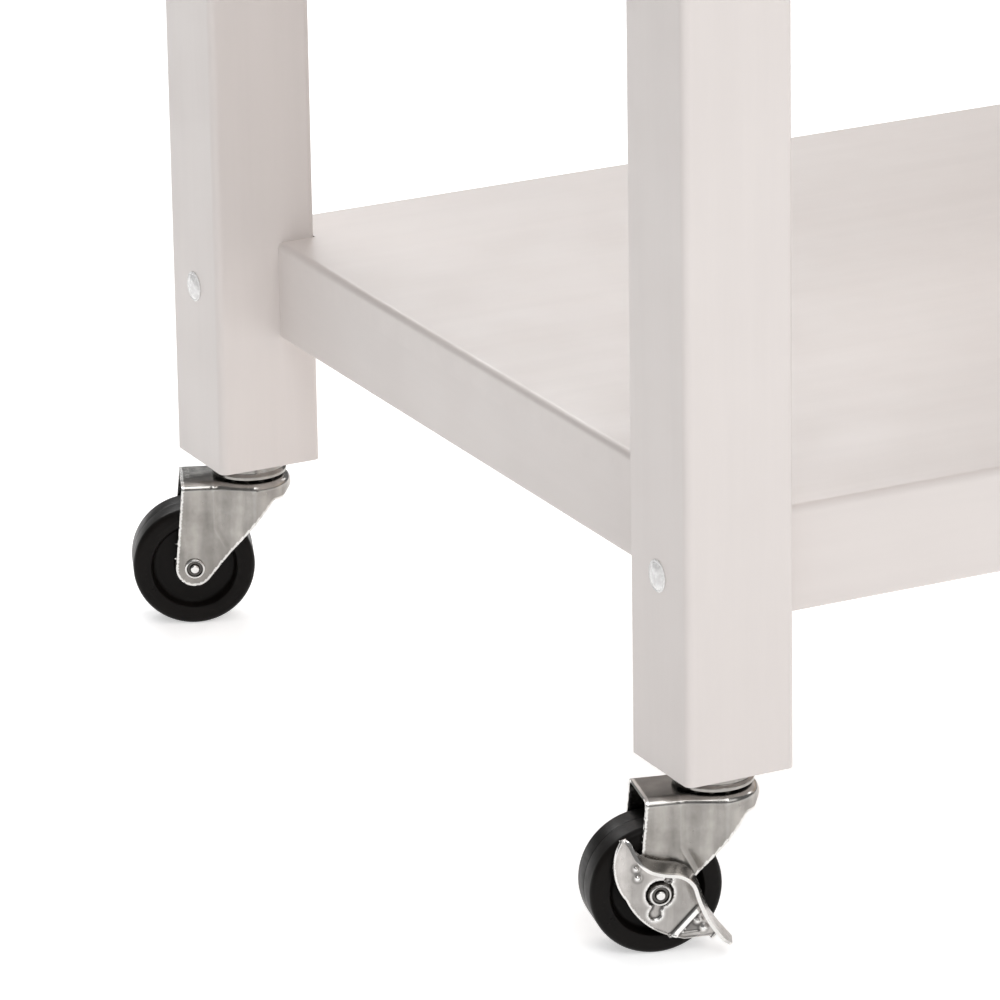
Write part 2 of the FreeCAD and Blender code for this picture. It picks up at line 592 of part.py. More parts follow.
def keyhole(name, half, radius, end, flare, level):
    """Plan outline of the fork: round about the swivel axis, narrowing from two shoulders to a tongue."""
    sketch = doc.addObject("Sketcher::SketchObject", name)
    sketch.setExpression("Placement.Base.z", level)
    shoulder = f"sqrt({radius} ^ 2 - Dims.crown_shoulder ^ 2)"
    places = [("-Dims.crown_shoulder", f"-{shoulder}"), (flare, f"-{half}"), (end, f"-{half}"),
              (end, half), (flare, half), ("-Dims.crown_shoulder", shoulder)]
    corners = [FreeCAD.Vector(value(across), value(up), 0) for across, up in places]
    for first, second in zip(corners, corners[1:]):
        sketch.addGeometry(Part.LineSegment(first, second))
    arc = sketch.addGeometry(Part.Arc(corners[-1], FreeCAD.Vector(-value(radius), 0, 0), corners[0]))
    for line in range(4):
        sketch.addConstraint(Sketcher.Constraint("Coincident", line, 2, line + 1, 1))
    sketch.addConstraint(Sketcher.Constraint("Coincident", arc, 1, 4, 2))
    sketch.addConstraint(Sketcher.Constraint("Coincident", arc, 2, 0, 1))
    sketch.addConstraint(Sketcher.Constraint("Coincident", arc, 3, -1, 1))
    for i, (across, up) in enumerate(places):
        line, end_point = (i, 1) if i < 5 else (4, 2)
        for kind, expression in (("DistanceX", across), ("DistanceY", up)):
            if i == 5 and kind == "DistanceY":
                continue
            index = sketch.addConstraint(
                Sketcher.Constraint(kind, -1, 1, line, end_point, value(expression)))
            sketch.renameConstraint(index, f"{kind}{i}")
            sketch.setExpression(f"Constraints.{kind}{i}", expression)
    return sketch


def keyhole_prism(name, half, radius, end, low, top):
    """Solid over the fork's outline. Its flare starts near the shoulders low down, to clear the brake
    lever, and reaches its full length flare_rise above the axle."""
    full = f"({axle_level} + Dims.flare_rise)"
    sections = [keyhole(f"{name}_foot", half, radius, end, "Dims.flare_foot", low),
                keyhole(f"{name}_rise", half, radius, end, "Dims.crown_flare", full)]
    loft = doc.addObject("Part::Loft", f"{name}_flare")
    loft.Sections = sections
    loft.Solid = True
    loft.Ruled = True
    upper = extruded(keyhole(f"{name}_top", half, radius, end, "Dims.crown_flare", full),
                     BODY_Z, 0, f"{top} - {full}")
    return loft, upper


def fork_side_profile():
    """Side view that the fork is trimmed to: a boss round the axle, a gusset rising to the skirt."""
    sketch = upright_sketch("fork_side")
    lead, level, boss = value("Dims.caster_lead"), value(axle_level), value("Dims.fork_boss_radius")
    top = value(crown_top)
    skirt = top - value("Dims.skirt_height")
    tip = (value("Dims.tongue_end"), top)
    knee = (-value("Dims.gusset_foot"), skirt)
    back = -value("Dims.crown_radius") - 1

    def touch(point, turn):
        away_x, away_z = point[0] - lead, point[1] - level
        angle = math.atan2(away_z, away_x) + turn * math.acos(boss / math.hypot(away_x, away_z))
        return (lead + boss * math.cos(angle), level + boss * math.sin(angle))

    first, second = touch(tip, -1), touch(knee, 1)
    points = [FreeCAD.Vector(x, z, 0) for x, z in (tip, first, second, knee, (back, skirt), (back, top))]
    bottom = FreeCAD.Vector(lead, level - boss, 0)
    sketch.addGeometry(Part.LineSegment(points[0], points[1]))
    sketch.addGeometry(Part.Arc(points[1], bottom, points[2]))
    for first_point, second_point in zip(points[2:], points[3:] + points[:1]):
        sketch.addGeometry(Part.LineSegment(first_point, second_point))
    return sketch


def make_fork(sign_x, sign_y):
    """Pressed steel fork: crown plate, wrap-round side plates and the trail over the wheel."""
    low = f"({axle_level} - Dims.fork_boss_radius - 1)"
    inner_half = "(Dims.fork_half_width - Dims.fork_sheet)"
    inner_radius = "(Dims.crown_radius - Dims.fork_sheet)"
    flare, upper = keyhole_prism("fork_outside", "Dims.fork_half_width", "Dims.crown_radius",
                                 "Dims.tongue_end + Dims.fork_boss_radius", low, crown_top)
    bent = round_edges(upper, "Dims.fork_bend",
                       lambda edge: edge.BoundBox.ZMin > value(crown_top) - 1e-6
                       and edge.BoundBox.XMin < value("Dims.tongue_end"))
    hollow = fuse(keyhole_prism("fork_inside", inner_half, inner_radius,
                                "Dims.tongue_end + Dims.fork_boss_radius * 2",
                                f"({low} - 1)", crown_under))
    side = extruded(fork_side_profile(), BODY_Y, "-Dims.crown_radius - 1", "Dims.crown_radius * 2 + 2")
    trimmed = doc.addObject("Part::Common", "trimmed")
    trimmed.Base = cut(fuse([flare, bent]), [hollow])
    trimmed.Tool = side
    groove_low = f"({crown_top} - Dims.ball_groove_depth)"
    groove = cut(rod((0, 0, groove_low), "Z", "Dims.ball_ring_radius + Dims.ball_groove_half",
                     "Dims.ball_groove_depth * 2"),
                 [rod((0, 0, groove_low), "Z", "Dims.ball_ring_radius - Dims.ball_groove_half",
                      "Dims.ball_groove_depth * 2")])
    kingpin_hole = rod((0, 0, f"{crown_under} - 1"), "Z", "Dims.kingpin_radius + Dims.running_gap",
                       "Dims.crown_sheet + 2")
    axle_hole = rod(("Dims.caster_lead", "-Dims.crown_radius", axle_level), "Y",
                    "Dims.axle_radius + Dims.running_gap", "Dims.crown_radius * 2")
    return place_caster_piece(cut(trimmed, [groove, kingpin_hole, axle_hole]), sign_x, sign_y)


def stem_outline():
    """Threaded stem, upper bearing cap with its ball groove, kingpin and its peened head."""
    groove_in = "(Dims.ball_ring_radius - Dims.ball_groove_half)"
    groove_out = "(Dims.ball_ring_radius + Dims.ball_groove_half)"
    head_top = f"({crown_under} - Dims.kingpin_play)"
    head_low = f"({head_top} - Dims.kingpin_head_height)"
    cap = "Dims.race_cap_radius"
    return [(0, head_low), ("Dims.kingpin_head_radius", head_low),
            ("Dims.kingpin_head_radius", head_top), ("Dims.kingpin_radius", head_top),
            ("Dims.kingpin_radius", cap_under), (groove_in, cap_under),
            (groove_in, f"{cap_under} + Dims.ball_groove_depth"),
            (groove_out, f"{cap_under} + Dims.ball_groove_depth"), (groove_out, cap_under),
            (cap, cap_under), (cap, f"{foot} - Dims.race_cap_round"),
            (f"{cap} - Dims.race_cap_round", foot), ("Dims.stem_radius", foot),
            ("Dims.stem_radius", f"{foot} + Dims.stem_length"), (0, f"{foot} + Dims.stem_length")]


def wheel_outline():
    """Solid hard wheel: bore, hub, thin web and a plain rim."""
    bore = "(Dims.axle_radius + Dims.running_gap)"
    half = [(bore, "Dims.hub_width / 2"), ("Dims.hub_radius - 0.8", "Dims.hub_width / 2"),
            ("Dims.hub_radius", "Dims.web_width / 2"),
            ("Dims.rim_inner_radius - 1", "Dims.web_width / 2"),
            ("Dims.rim_inner_radius", "Dims.wheel_width / 2"),
            ("Dims.wheel_radius", "Dims.wheel_width / 2")]
    return half + [(radius, f"-({across})") for radius, across in reversed(half)]


def axle_outline(near_face):
    """Riveted axle between its two heads; the near head sits at near_face."""
    far_face = "(Dims.fork_half_width + Dims.running_gap)"
    head, shank = "Dims.axle_head_radius", "Dims.axle_radius"
    chamfer = "(Dims.axle_head_height / 3)"
    return [(0, f"-({far_face} + Dims.axle_head_height)"),
            (f"{head} - {chamfer}", f"-({far_face} + Dims.axle_head_height)"),
            (head, f"-({far_face} + Dims.axle_head_height - {chamfer})"), (head, f"-({far_face})"),
            (shank, f"-({far_face})"), (shank, near_face), (head, near_face),
            (head, f"{near_face} + Dims.axle_head_height - {chamfer}"),
            (f"{head} - {chamfer}", f"{near_face} + Dims.axle_head_height"),
            (0, f"{near_face} + Dims.axle_head_height")]


# Brake lever, seen from outside with the axle at the origin, u towards the swivel axis and v up.
# Its fold starts at the pedal's end and is a chain of tangent runs, each a length and a turn to the
# left in degrees. The leaf's free edge is two arcs and three straight runs.
PEDAL_END = (27.2, -18.9)
PEDAL_HEADING = 129
FOLD_RUNS = ((6, 0), (20, -25), (15.5, 70), (20.5, -44))
LEAF_ARCS = (((-17.4, 11.0), (-13.0, -1.0)), ((-6.5, -10.5), (3.9, -16.9)))
LEAF_FOOT = ((9.0, -18.7), (21.5, -18.5))
SHOE_ANGLE = 38.5
SHOE_HALF_TURN = 6.5


def fold_runs(inset):
    """Runs of (u, v) points along the fold, moved sideways into the leaf by an inset."""
    heading = math.radians(PEDAL_HEADING)
    place = (PEDAL_END[0] - inset * math.sin(heading), PEDAL_END[1] + inset * math.cos(heading))
    runs = []
    for length, turn in FOLD_RUNS:
        if turn == 0:
            end = (place[0] + length * math.cos(heading), place[1] + length * math.sin(heading))
            runs.append((place, end))
        else:
            angle = math.radians(turn)
            reach = length / angle - inset
            centre = (place[0] - reach * math.sin(heading), place[1] + reach * math.cos(heading))
            arc = [(centre[0] + reach * math.sin(heading + angle * part),
                    centre[1] - reach * math.cos(heading + angle * part)) for part in (0.5, 1)]
            runs.append((place, *arc))
            heading += angle
            end = arc[-1]
        place = end
    return runs


def leaf_runs():
    """Closed outline of the leaf: along the fold from the pedal, then back round the free edge."""
    runs = fold_runs(0)[1:]
    place = runs[-1][-1]
    for middle, end in LEAF_ARCS:
        runs.append((place, middle, end))
        place = end
    for end in (*LEAF_FOOT, runs[0][0]):
        runs.append((place, end))
        place = end
    return runs


def strip_runs():
    """Closed outline of the flange seen from the side: the fold and the same fold inset."""
    outside = fold_runs(0)
    inside = [tuple(reversed(run)) for run in reversed(fold_runs(value("Dims.lever_sheet")))]
    return outside + [(outside[-1][-1], inside[0][0])] + inside + [(inside[-1][-1], outside[0][0])]


def lever_profile(name, runs):
    """Closed sketch of (u, v) runs in the caster's own X and Z."""
    sketch = upright_sketch(name)
    lead, level = value("Dims.caster_lead"), value(axle_level)
    for run in runs:
        points = [FreeCAD.Vector(lead - u, level + v, 0) for u, v in run]
        index = sketch.addGeometry(Part.LineSegment(*points) if len(points) == 2 else Part.Arc(*points))
        sketch.addConstraint(Sketcher.Constraint("Block", index))
    return sketch


def make_brake_lever(sign_x, sign_y):
    """Pressed leaf that turns on the axle, with a flange that ends as a pedal and a shoe on the tread."""
    face = "(Dims.fork_half_width + Dims.lever_play)"
    leaf_sketch = lever_profile("lever_leaf", leaf_runs())
    strip = lever_profile("lever_strip", strip_runs())
    leaf = extruded(leaf_sketch, BODY_Y, face, "Dims.lever_sheet")
    flange = extruded(strip, BODY_Y, face, "Dims.lever_flange")

    # The flange runs out to nothing at the lever's upper point and its pedal end is trimmed.
    tip_x = value("Dims.caster_lead") - fold_runs(0)[-1][-1][0]
    pedal_x = value("Dims.caster_lead") - PEDAL_END[0]
    inner, outer = value(face), value(f"{face} + Dims.lever_flange")
    leaf_outer = value(f"{face} + Dims.lever_sheet")
    plan_sketch = doc.addObject("Sketcher::SketchObject", "lever_plan")
    plan = [(tip_x + 4, inner), (tip_x + 4, leaf_outer), (tip_x, leaf_outer), (tip_x - 10, outer),
            (pedal_x + 2, outer), (pedal_x - 2, outer - 3), (pedal_x - 2, inner)]
    for first, second in zip(plan, plan[1:] + plan[:1]):
        plan_sketch.addGeometry(Part.LineSegment(FreeCAD.Vector(*first, 0), FreeCAD.Vector(*second, 0)))
    plan_solid = extruded(plan_sketch, BODY_Z, 0, "Dims.wheel_radius * 3")
    trimmed = doc.addObject("Part::Common", "lever_trimmed")
    trimmed.Base = fuse([leaf, flange])
    trimmed.Tool = plan_solid

    # The shoe is a short piece of sleeve round the tread, bent in from the leaf's lower corner.
    shoe_in = "(Dims.wheel_radius + Dims.shoe_gap)"
    shoe = doc.addObject("Part::Cylinder", "shoe")
    bind(shoe, Radius=f"{shoe_in} + Dims.lever_sheet", Height="Dims.shoe_reach",
         Angle=str(2 * SHOE_HALF_TURN))
    shoe.Placement.Rotation = FreeCAD.Rotation(BODY_Y, 180 - SHOE_ANGLE + SHOE_HALF_TURN).multiply(
        FreeCAD.Rotation(FreeCAD.Vector(1, 0, 0), -90))
    move(shoe, "Dims.caster_lead", f"{face} - Dims.shoe_reach + Dims.lever_sheet", axle_level)
    tread = rod(("Dims.caster_lead", "-Dims.crown_radius", axle_level), "Y", shoe_in,
                "Dims.crown_radius * 2")
    bore = rod(("Dims.caster_lead", "-Dims.crown_radius", axle_level), "Y",
               "Dims.axle_radius + Dims.running_gap", "Dims.crown_radius * 2")
    whole = cut(fuse([trimmed, cut(shoe, [tread])]), [bore])
    return place_caster_piece(whole, sign_x, sign_y)


def race_balls(sign_x, sign_y):
    """Ring of balls between the bearing cap and the crown."""
    balls = []
    for i in range(BALLS_PER_RACE):
        turn = 360 / BALLS_PER_RACE * i
        ball = doc.addObject("Part::Sphere", "ball")
        bind(ball, Radius="Dims.ball_radius")
        move(ball, f"{sign_x} * {leg_x} + Dims.ball_ring_radius * cos({turn} * 1 deg)",
             f"{sign_y} * {leg_y} + Dims.ball_ring_radius * sin({turn} * 1 deg)",
             f"{crown_top} + Dims.race_gap / 2")
        balls.append(ball)
    return balls


sockets = []
balls = []
for end, sign_y in ENDS:
    braked = end == "front"
    for side, sign_x in SIDES:
        corner_name = f"{end}_{side}"
        spot = (f"({sign_x} * {leg_x})", f"({sign_y} * {leg_y})")
        sockets.append(cut(rod((*spot, foot), "Z", "Dims.socket_radius", "Dims.socket_length"),
                           [rod((*spot, foot), "Z", "Dims.stem_radius + Dims.running_gap",
                                "Dims.stem_length + 1")]))
        balls += race_balls(sign_x, sign_y)

        stem = turned(stem_outline(), "Z")
        move(stem, *spot, 0)
        node(stem, f"caster_stem_{corner_name}")
        node(make_fork(sign_x, sign_y), f"caster_fork_{corner_name}")

        near_face = "(Dims.fork_half_width + Dims.running_gap)"
        if braked:
            near_face = "(Dims.fork_half_width + Dims.lever_play * 2 + Dims.lever_sheet)"
        axle = turned(axle_outline(near_face), "Y")
        node(place_caster_piece(axle, sign_x, sign_y, "Dims.caster_lead", axle_level),
             f"caster_axle_{corner_name}")

        wheel = turned(wheel_outline(), "Y")
        tread = value("Dims.wheel_radius")
        round_body_edges(wheel, "Dims.wheel_edge",
                         lambda edge: hasattr(edge.Curve, "Radius")
                         and abs(edge.Curve.Radius - tread) < 1e-6)
        node(place_caster_piece(wheel, sign_x, sign_y, "Dims.caster_lead", axle_level),
             f"caster_wheel_{corner_name}")
        if braked:
            node(make_brake_lever(sign_x, sign_y), f"brake_lever_{corner_name}")
group("stem_sockets", sockets)
group("swivel_balls", balls)

# ---------------------------------------------------------------- check and write

doc.recompute()
for item in doc.Objects:
    if "Invalid" in item.State or "Error" in item.State:
        raise RuntimeError(f"{item.Name} ({item.Label}) failed: {item.State}")
for piece in nodes:
    if piece.Shape.isNull() or not piece.Shape.isValid() or not piece.Shape.Solids:
        raise RuntimeError(f"{piece.Label} has no valid solid")

os.makedirs("parts", exist_ok=True)
for piece in nodes:
    piece.Shape.exportStep(f"parts/{piece.Label}.step")
    print(piece.Label, len(piece.Shape.Solids), round(piece.Shape.Volume, 1))
print(len(nodes), "nodes")
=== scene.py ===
import json
import math

import bmesh
import bpy
import numpy as np
from mathutils import Matrix, Vector
from mathutils.geometry import delaunay_2d_cdt


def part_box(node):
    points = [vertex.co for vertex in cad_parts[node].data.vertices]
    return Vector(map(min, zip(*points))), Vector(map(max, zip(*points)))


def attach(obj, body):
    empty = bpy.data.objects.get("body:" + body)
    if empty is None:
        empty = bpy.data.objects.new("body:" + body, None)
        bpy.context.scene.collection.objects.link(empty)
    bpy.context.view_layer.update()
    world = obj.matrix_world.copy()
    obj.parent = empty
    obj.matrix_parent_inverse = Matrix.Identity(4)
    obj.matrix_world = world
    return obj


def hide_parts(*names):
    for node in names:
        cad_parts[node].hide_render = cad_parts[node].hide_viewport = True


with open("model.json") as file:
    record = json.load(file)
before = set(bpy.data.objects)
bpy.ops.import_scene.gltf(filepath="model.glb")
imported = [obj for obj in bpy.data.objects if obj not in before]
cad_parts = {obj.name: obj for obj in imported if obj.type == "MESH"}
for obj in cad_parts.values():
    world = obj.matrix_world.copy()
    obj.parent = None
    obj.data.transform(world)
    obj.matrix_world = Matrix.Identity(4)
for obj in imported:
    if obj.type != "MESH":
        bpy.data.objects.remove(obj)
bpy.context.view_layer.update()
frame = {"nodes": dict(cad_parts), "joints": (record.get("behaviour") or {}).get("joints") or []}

CORNERS = ("front_left", "front_right", "back_left", "back_right")
BRAKED = CORNERS[:2]
MM = 0.001
MERGE, SLIVER = 8e-6, 4e-6  # metres: points closer than this become one, edges shorter than this go
nodes = frame["nodes"]
joints = {joint["name"]: joint for joint in frame["joints"]}


# ---------------------------------------------------------------- materials

class Surface:
    """A node material worked out from the object's own coordinates, in metres."""

    def __init__(self, name, **constants):
        self.material = bpy.data.materials.new(name)
        self.material.use_nodes = True
        self.tree = self.material.node_tree
        self.shader = self.tree.nodes["Principled BSDF"]
        for socket, number in constants.items():
            self.shader.inputs[socket.replace("_", " ")].default_value = number
        self.place = self.add("ShaderNodeTexCoord").outputs["Object"]
        self.relief = None

    def add(self, kind, inputs=(), **settings):
        node = self.tree.nodes.new(kind)
        for name, setting in settings.items():
            setattr(node, name, setting)
        for name, source in dict(inputs).items():
            if isinstance(source, bpy.types.NodeSocket):
                self.tree.links.new(source, node.inputs[name])
            else:
                node.inputs[name].default_value = source
        return node

    def stretched(self, scale, place=None):
        return self.add("ShaderNodeMapping", {"Vector": place or self.place, "Scale": scale}).outputs[0]

    def noise(self, scale, detail=4.0, roughness=0.55, stretch=(1, 1, 1), place=None):
        vector = self.stretched(stretch, place)
        return self.add("ShaderNodeTexNoise", {"Vector": vector, "Scale": scale, "Detail": detail,
                                               "Roughness": roughness}).outputs["Fac"]

    def ramp(self, amount, *stops):
        node = self.add("ShaderNodeValToRGB", {"Fac": amount})
        elements = node.color_ramp.elements
        while len(elements) < len(stops):
            elements.new(0.5)
        for element, (position, shade) in zip(elements, stops):
            element.position = position
            element.color = (*shade, 1) if isinstance(shade, tuple) else (shade, shade, shade, 1)
        return node.outputs["Color"]

    def math(self, operation, first, second=0.0):
        node = self.add("ShaderNodeMath", operation=operation)
        for socket, source in zip(node.inputs, (first, second)):
            if isinstance(source, bpy.types.NodeSocket):
                self.tree.links.new(source, socket)
            else:
                socket.default_value = source
        return node.outputs[0]

    def blend(self, amount, first, second, mode="MIX"):
        return self.add("ShaderNodeMixRGB", {"Fac": amount, "Color1": first, "Color2": second},
                        blend_type=mode).outputs[0]

    def colour(self, source):
        self.tree.links.new(source, self.shader.inputs["Base Color"])
        return self

    def roughness(self, amount, low, high):
        node = self.add("ShaderNodeMapRange", {"Value": amount, "From Min": 0.3, "From Max": 0.7,
                                               "To Min": low, "To Max": high})
        self.tree.links.new(node.outputs[0], self.shader.inputs["Roughness"])
        return self

    def bump(self, height, strength, distance):
        inputs = {"Height": height, "Strength": strength, "Distance": distance}
        if self.relief:
            inputs["Normal"] = self.relief
        self.relief = self.add("ShaderNodeBump", inputs).outputs["Normal"]
        self.tree.links.new(self.relief, self.shader.inputs["Normal"])
        return self


def along_grain(axis, share):
    """Stretch of a texture along one axis."""
    return tuple(share if name == axis else 1 for name in "xyz")


def painted_wood(axis):
    """Sprayed satin white over sanded wood, with a trace of the grain along the board."""
    surface = Surface(f"white_paint_{axis}", Specular_IOR_Level=0.45, Coat_Weight=0.15,
                      Coat_Roughness=0.25)
    along = along_grain(axis, 0.06)
    cloud = surface.noise(7, 3, 0.5)
    fine = surface.noise(420, 4, 0.6, along)
    peel = surface.noise(900, 2, 0.5)
    streak = surface.noise(90, 6, 0.65, along)
    tone = surface.ramp(cloud, (0.3, (0.700, 0.650, 0.627)), (0.7, (0.735, 0.685, 0.660)))
    tone = surface.blend(0.10, tone, surface.ramp(streak, (0.35, 0.62), (0.62, 0.86)), "MULTIPLY")
    surface.colour(tone).roughness(surface.noise(35, 4), 0.34, 0.48)
    return surface.bump(streak, 0.10, 0.0006).bump(fine, 0.10, 0.0002).bump(peel, 0.12, 0.00012).material


def butcher_block():
    """Strips of light hardwood glued side by side, each with its own tone and grain."""
    strip_width, strip_length = 0.042, 0.34
    surface = Surface("butcher_block", Specular_IOR_Level=0.4, Coat_Weight=0.12, Coat_Roughness=0.3)
    split = surface.add("ShaderNodeSeparateXYZ", {"Vector": surface.place})
    row_place = surface.math("DIVIDE", split.outputs["Y"], strip_width)
    row = surface.math("FLOOR", row_place)
    shift = surface.add("ShaderNodeTexWhiteNoise", {"W": row}, noise_dimensions="1D").outputs["Value"]
    run_place = surface.math("ADD", surface.math("DIVIDE", split.outputs["X"], strip_length), shift)
    run = surface.math("FLOOR", run_place)
    cell = surface.add("ShaderNodeCombineXYZ", {"X": row, "Y": run}).outputs[0]
    random = surface.add("ShaderNodeTexWhiteNoise", {"Vector": cell}, noise_dimensions="3D")
    offset = surface.add("ShaderNodeVectorMath", {0: random.outputs["Color"], 1: (3, 3, 3)},
                         operation="MULTIPLY").outputs[0]
    grain_place = surface.add("ShaderNodeVectorMath", {0: surface.place, 1: offset},
                              operation="ADD").outputs[0]
    rings = surface.noise(26, 5, 0.6, (0.09, 1, 1), grain_place)
    wave = surface.math("SINE", surface.math("MULTIPLY", rings, 70.0))
    pores = surface.noise(620, 3, 0.6, (0.05, 1, 1), grain_place)
    figure = surface.noise(9, 3, 0.5, (0.3, 1, 1), grain_place)
    tone = surface.ramp(random.outputs["Value"], (0.0, (0.42, 0.245, 0.125)), (0.35, (0.52, 0.325, 0.175)),
                        (0.7, (0.585, 0.385, 0.22)), (1.0, (0.47, 0.285, 0.15)))
    tone = surface.blend(0.30, tone, surface.ramp(wave, (0.0, 0.55), (0.9, 0.95)), "MULTIPLY")
    tone = surface.blend(0.35, tone, surface.ramp(pores, (0.42, 0.45), (0.56, 0.95)), "MULTIPLY")
    tone = surface.blend(0.25, tone, surface.ramp(figure, (0.35, 0.65), (0.65, 1.0)), "MULTIPLY")

    def seam(place, width):
        part = surface.math("FRACT", place)
        near = surface.math("MINIMUM", part, surface.math("SUBTRACT", 1.0, part))
        return surface.math("LESS_THAN", near, width)

    seams = surface.math("MAXIMUM", seam(row_place, 0.006), seam(run_place, 0.0008))
    tone = surface.blend(surface.math("MULTIPLY", seams, 0.6), tone, (0.16, 0.08, 0.035, 1))
    surface.colour(tone).roughness(surface.noise(60, 5), 0.36, 0.55)
    return surface.bump(pores, 0.25, 0.0003).bump(seams, -0.3, 0.0003).material


def raw_pine(axis):
    """Plain sanded softwood for the hidden boards."""
    surface = Surface(f"raw_pine_{axis}", Specular_IOR_Level=0.3)
    along = along_grain(axis, 0.05)
    rings = surface.noise(45, 5, 0.55, along)
    wave = surface.math("SINE", surface.math("MULTIPLY", rings, 45.0))
    fine = surface.noise(700, 3, 0.6, along)
    tone = surface.ramp(wave, (0.0, (0.60, 0.41, 0.22)), (0.75, (0.74, 0.57, 0.36)))
    tone = surface.blend(0.25, tone, surface.ramp(fine, (0.35, 0.6), (0.6, 1.0)), "MULTIPLY")
    surface.colour(tone).roughness(fine, 0.5, 0.7)
    return surface.bump(fine, 0.3, 0.0002).material


def plated_steel(name, light, dark, low, high):
    """Bright zinc plating on pressed sheet: upright bands of tone, faint clouding and fine draw marks.

    It has a painted highlight on convex edges, painted shade in concave hollows and painted shade on faces
    that point up. A mesh may carry its own painted highlights and painted shade as a point attribute, from
    -1 to 1."""
    surface = Surface(name, Metallic=1.0)
    cloud = surface.noise(95, 4, 0.6)
    marks = surface.noise(1500, 4, 0.65, (1, 1, 0.12))
    speck = surface.noise(2600, 2, 0.5)
    tone = surface.ramp(cloud, (0.3, dark), (0.7, light))
    tone = surface.blend(0.15, tone, surface.ramp(marks, (0.3, 0.6), (0.65, 1.0)), "MULTIPLY")
    bands = surface.noise(150, 2, 0.4, (1, 1, 0.12))
    tone = surface.blend(0.55, tone, surface.ramp(bands, (0.38, 0.5), (0.62, 1.0)), "MULTIPLY")
    geometry = surface.add("ShaderNodeNewGeometry")
    # Painted shade: faces that point straight up are darkened almost to black.
    facing = surface.add("ShaderNodeSeparateXYZ", {"Vector": geometry.outputs["Normal"]}).outputs["Z"]
    tone = surface.blend(surface.ramp(facing, (0.90, 0.0), (0.99, 0.6)), tone, (0.07, 0.072, 0.068, 1))
    # Painted highlight where the mesh's own point attribute is positive, painted shade where it is
    # negative.
    painted_light_tone = surface.add("ShaderNodeAttribute", attribute_name="painted_light").outputs["Fac"]
    tone = surface.blend(surface.ramp(painted_light_tone, (0.0, 0.0), (0.8, 0.9)), tone, (0.95, 0.94, 0.93, 1))
    painted_shade_tone = surface.math("MULTIPLY", painted_light_tone, -1.0)
    tone = surface.blend(surface.ramp(painted_shade_tone, (0.0, 0.0), (0.8, 0.85)), tone, (0.05, 0.047, 0.045, 1))
    # Painted highlight on convex edges and painted shade in concave creases, both taken from the mesh's
    # pointiness.
    edge = geometry.outputs["Pointiness"]
    tone = surface.blend(surface.ramp(edge, (0.505, 0.0), (0.57, 0.7)), tone, (0.86, 0.85, 0.83, 1))
    tone = surface.blend(surface.ramp(edge, (0.44, 0.7), (0.495, 0.0)), tone, (0.10, 0.095, 0.09, 1))
    surface.colour(tone).roughness(surface.noise(260, 5, 0.6), low, high)
    return surface.bump(cloud, 0.06, 0.0006).bump(marks, 0.08, 0.0001).bump(speck, 0.04, 0.00008).material


def mark_painted_light(mesh, tones):
    """Keep each vertex's painted highlight and painted shade tone with the mesh."""
    mesh.attributes.new("painted_light", "FLOAT", "POINT").data.foreach_set("value", tones)
    return mesh


def black_plastic():
    """Hard black moulded wheel: semi-gloss, fine mould texture, faint scuffing."""
    surface = Surface("black_plastic", Specular_IOR_Level=0.1)
    cloud = surface.noise(70, 4, 0.6)
    scuff = surface.noise(520, 5, 0.7, (1, 1, 0.4))
    grain = surface.noise(1800, 2, 0.5)
    tone = surface.ramp(cloud, (0.3, (0.0042, 0.0034, 0.003)), (0.7, (0.0075, 0.0062, 0.0055)))
    tone = surface.blend(surface.ramp(scuff, (0.62, 0.0), (0.80, 0.3)), tone, (0.05, 0.047, 0.045, 1))
    surface.colour(tone).roughness(cloud, 0.26, 0.44)
    return surface.bump(cloud, 0.15, 0.001).bump(grain, 0.10, 0.0001).material


def cap_plastic():
    """Glossy white moulded cap with a slightly mottled surface."""
    surface = Surface("white_cap_plastic", Specular_IOR_Level=0.55, Coat_Weight=0.5, Coat_Roughness=0.12)
    mottle = surface.noise(420, 3, 0.55)
    tone = surface.ramp(mottle, (0.35, (0.70, 0.69, 0.685)), (0.62, (0.86, 0.855, 0.85)))
    surface.colour(tone).roughness(mottle, 0.18, 0.34)
    return surface.bump(mottle, 0.45, 0.0006).material


PAINT = {axis: painted_wood(axis) for axis in "xyz"}
PINE = {axis: raw_pine(axis) for axis in "xyz"}
# Painted shade: the fork's plating tones are darker than bright zinc and stand in for darker reflections.
# The lever's copy of the same plating is lighter, a painted highlight.
ZINC = plated_steel("zinc_plate", (0.44, 0.42, 0.395), (0.31, 0.295, 0.275), 0.14, 0.28)
LEVER_ZINC = plated_steel("lever_zinc_plate", (0.60, 0.575, 0.555), (0.44, 0.42, 0.40), 0.16, 0.30)
FASTENER = plated_steel("fastener_steel", (0.62, 0.62, 0.63), (0.45, 0.45, 0.46), 0.28, 0.45)
NICKEL = plated_steel("satin_nickel", (0.66, 0.62, 0.57), (0.56, 0.53, 0.49), 0.30, 0.38)
BLACK = black_plastic()
CAP = cap_plastic()
BLOCK = butcher_block()

DRESS = {"worktop": BLOCK, "drawer_bottom": PINE["x"], "drawer_back": PINE["x"],
         "drawer_left_side": PINE["y"], "drawer_right_side": PINE["y"], "frame_dowels": PINE["x"],
         "bolt_caps": CAP, "drawer_knobs": NICKEL}
for name, obj in nodes.items():
    if name in DRESS:
        chosen = DRESS[name]
    elif name.startswith("caster_wheel"):
        chosen = BLACK
    elif name.startswith(("caster", "swivel")):
        chosen = ZINC
    elif name.startswith("brake"):
        chosen = LEVER_ZINC
    elif any(word in name for word in ("slide", "screws", "bolts", "nuts", "brackets", "sockets")):
        chosen = FASTENER
    elif "batten" in name:
        chosen = PINE["y"]
    else:
        low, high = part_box(name)
        size = high - low
        chosen = PAINT["xyz"[max(range(3), key=lambda i: size[i])]]
    for material_slot in obj.material_slots:
        material_slot.material = chosen


# ---------------------------------------------------------------- mesh helpers, in millimetres

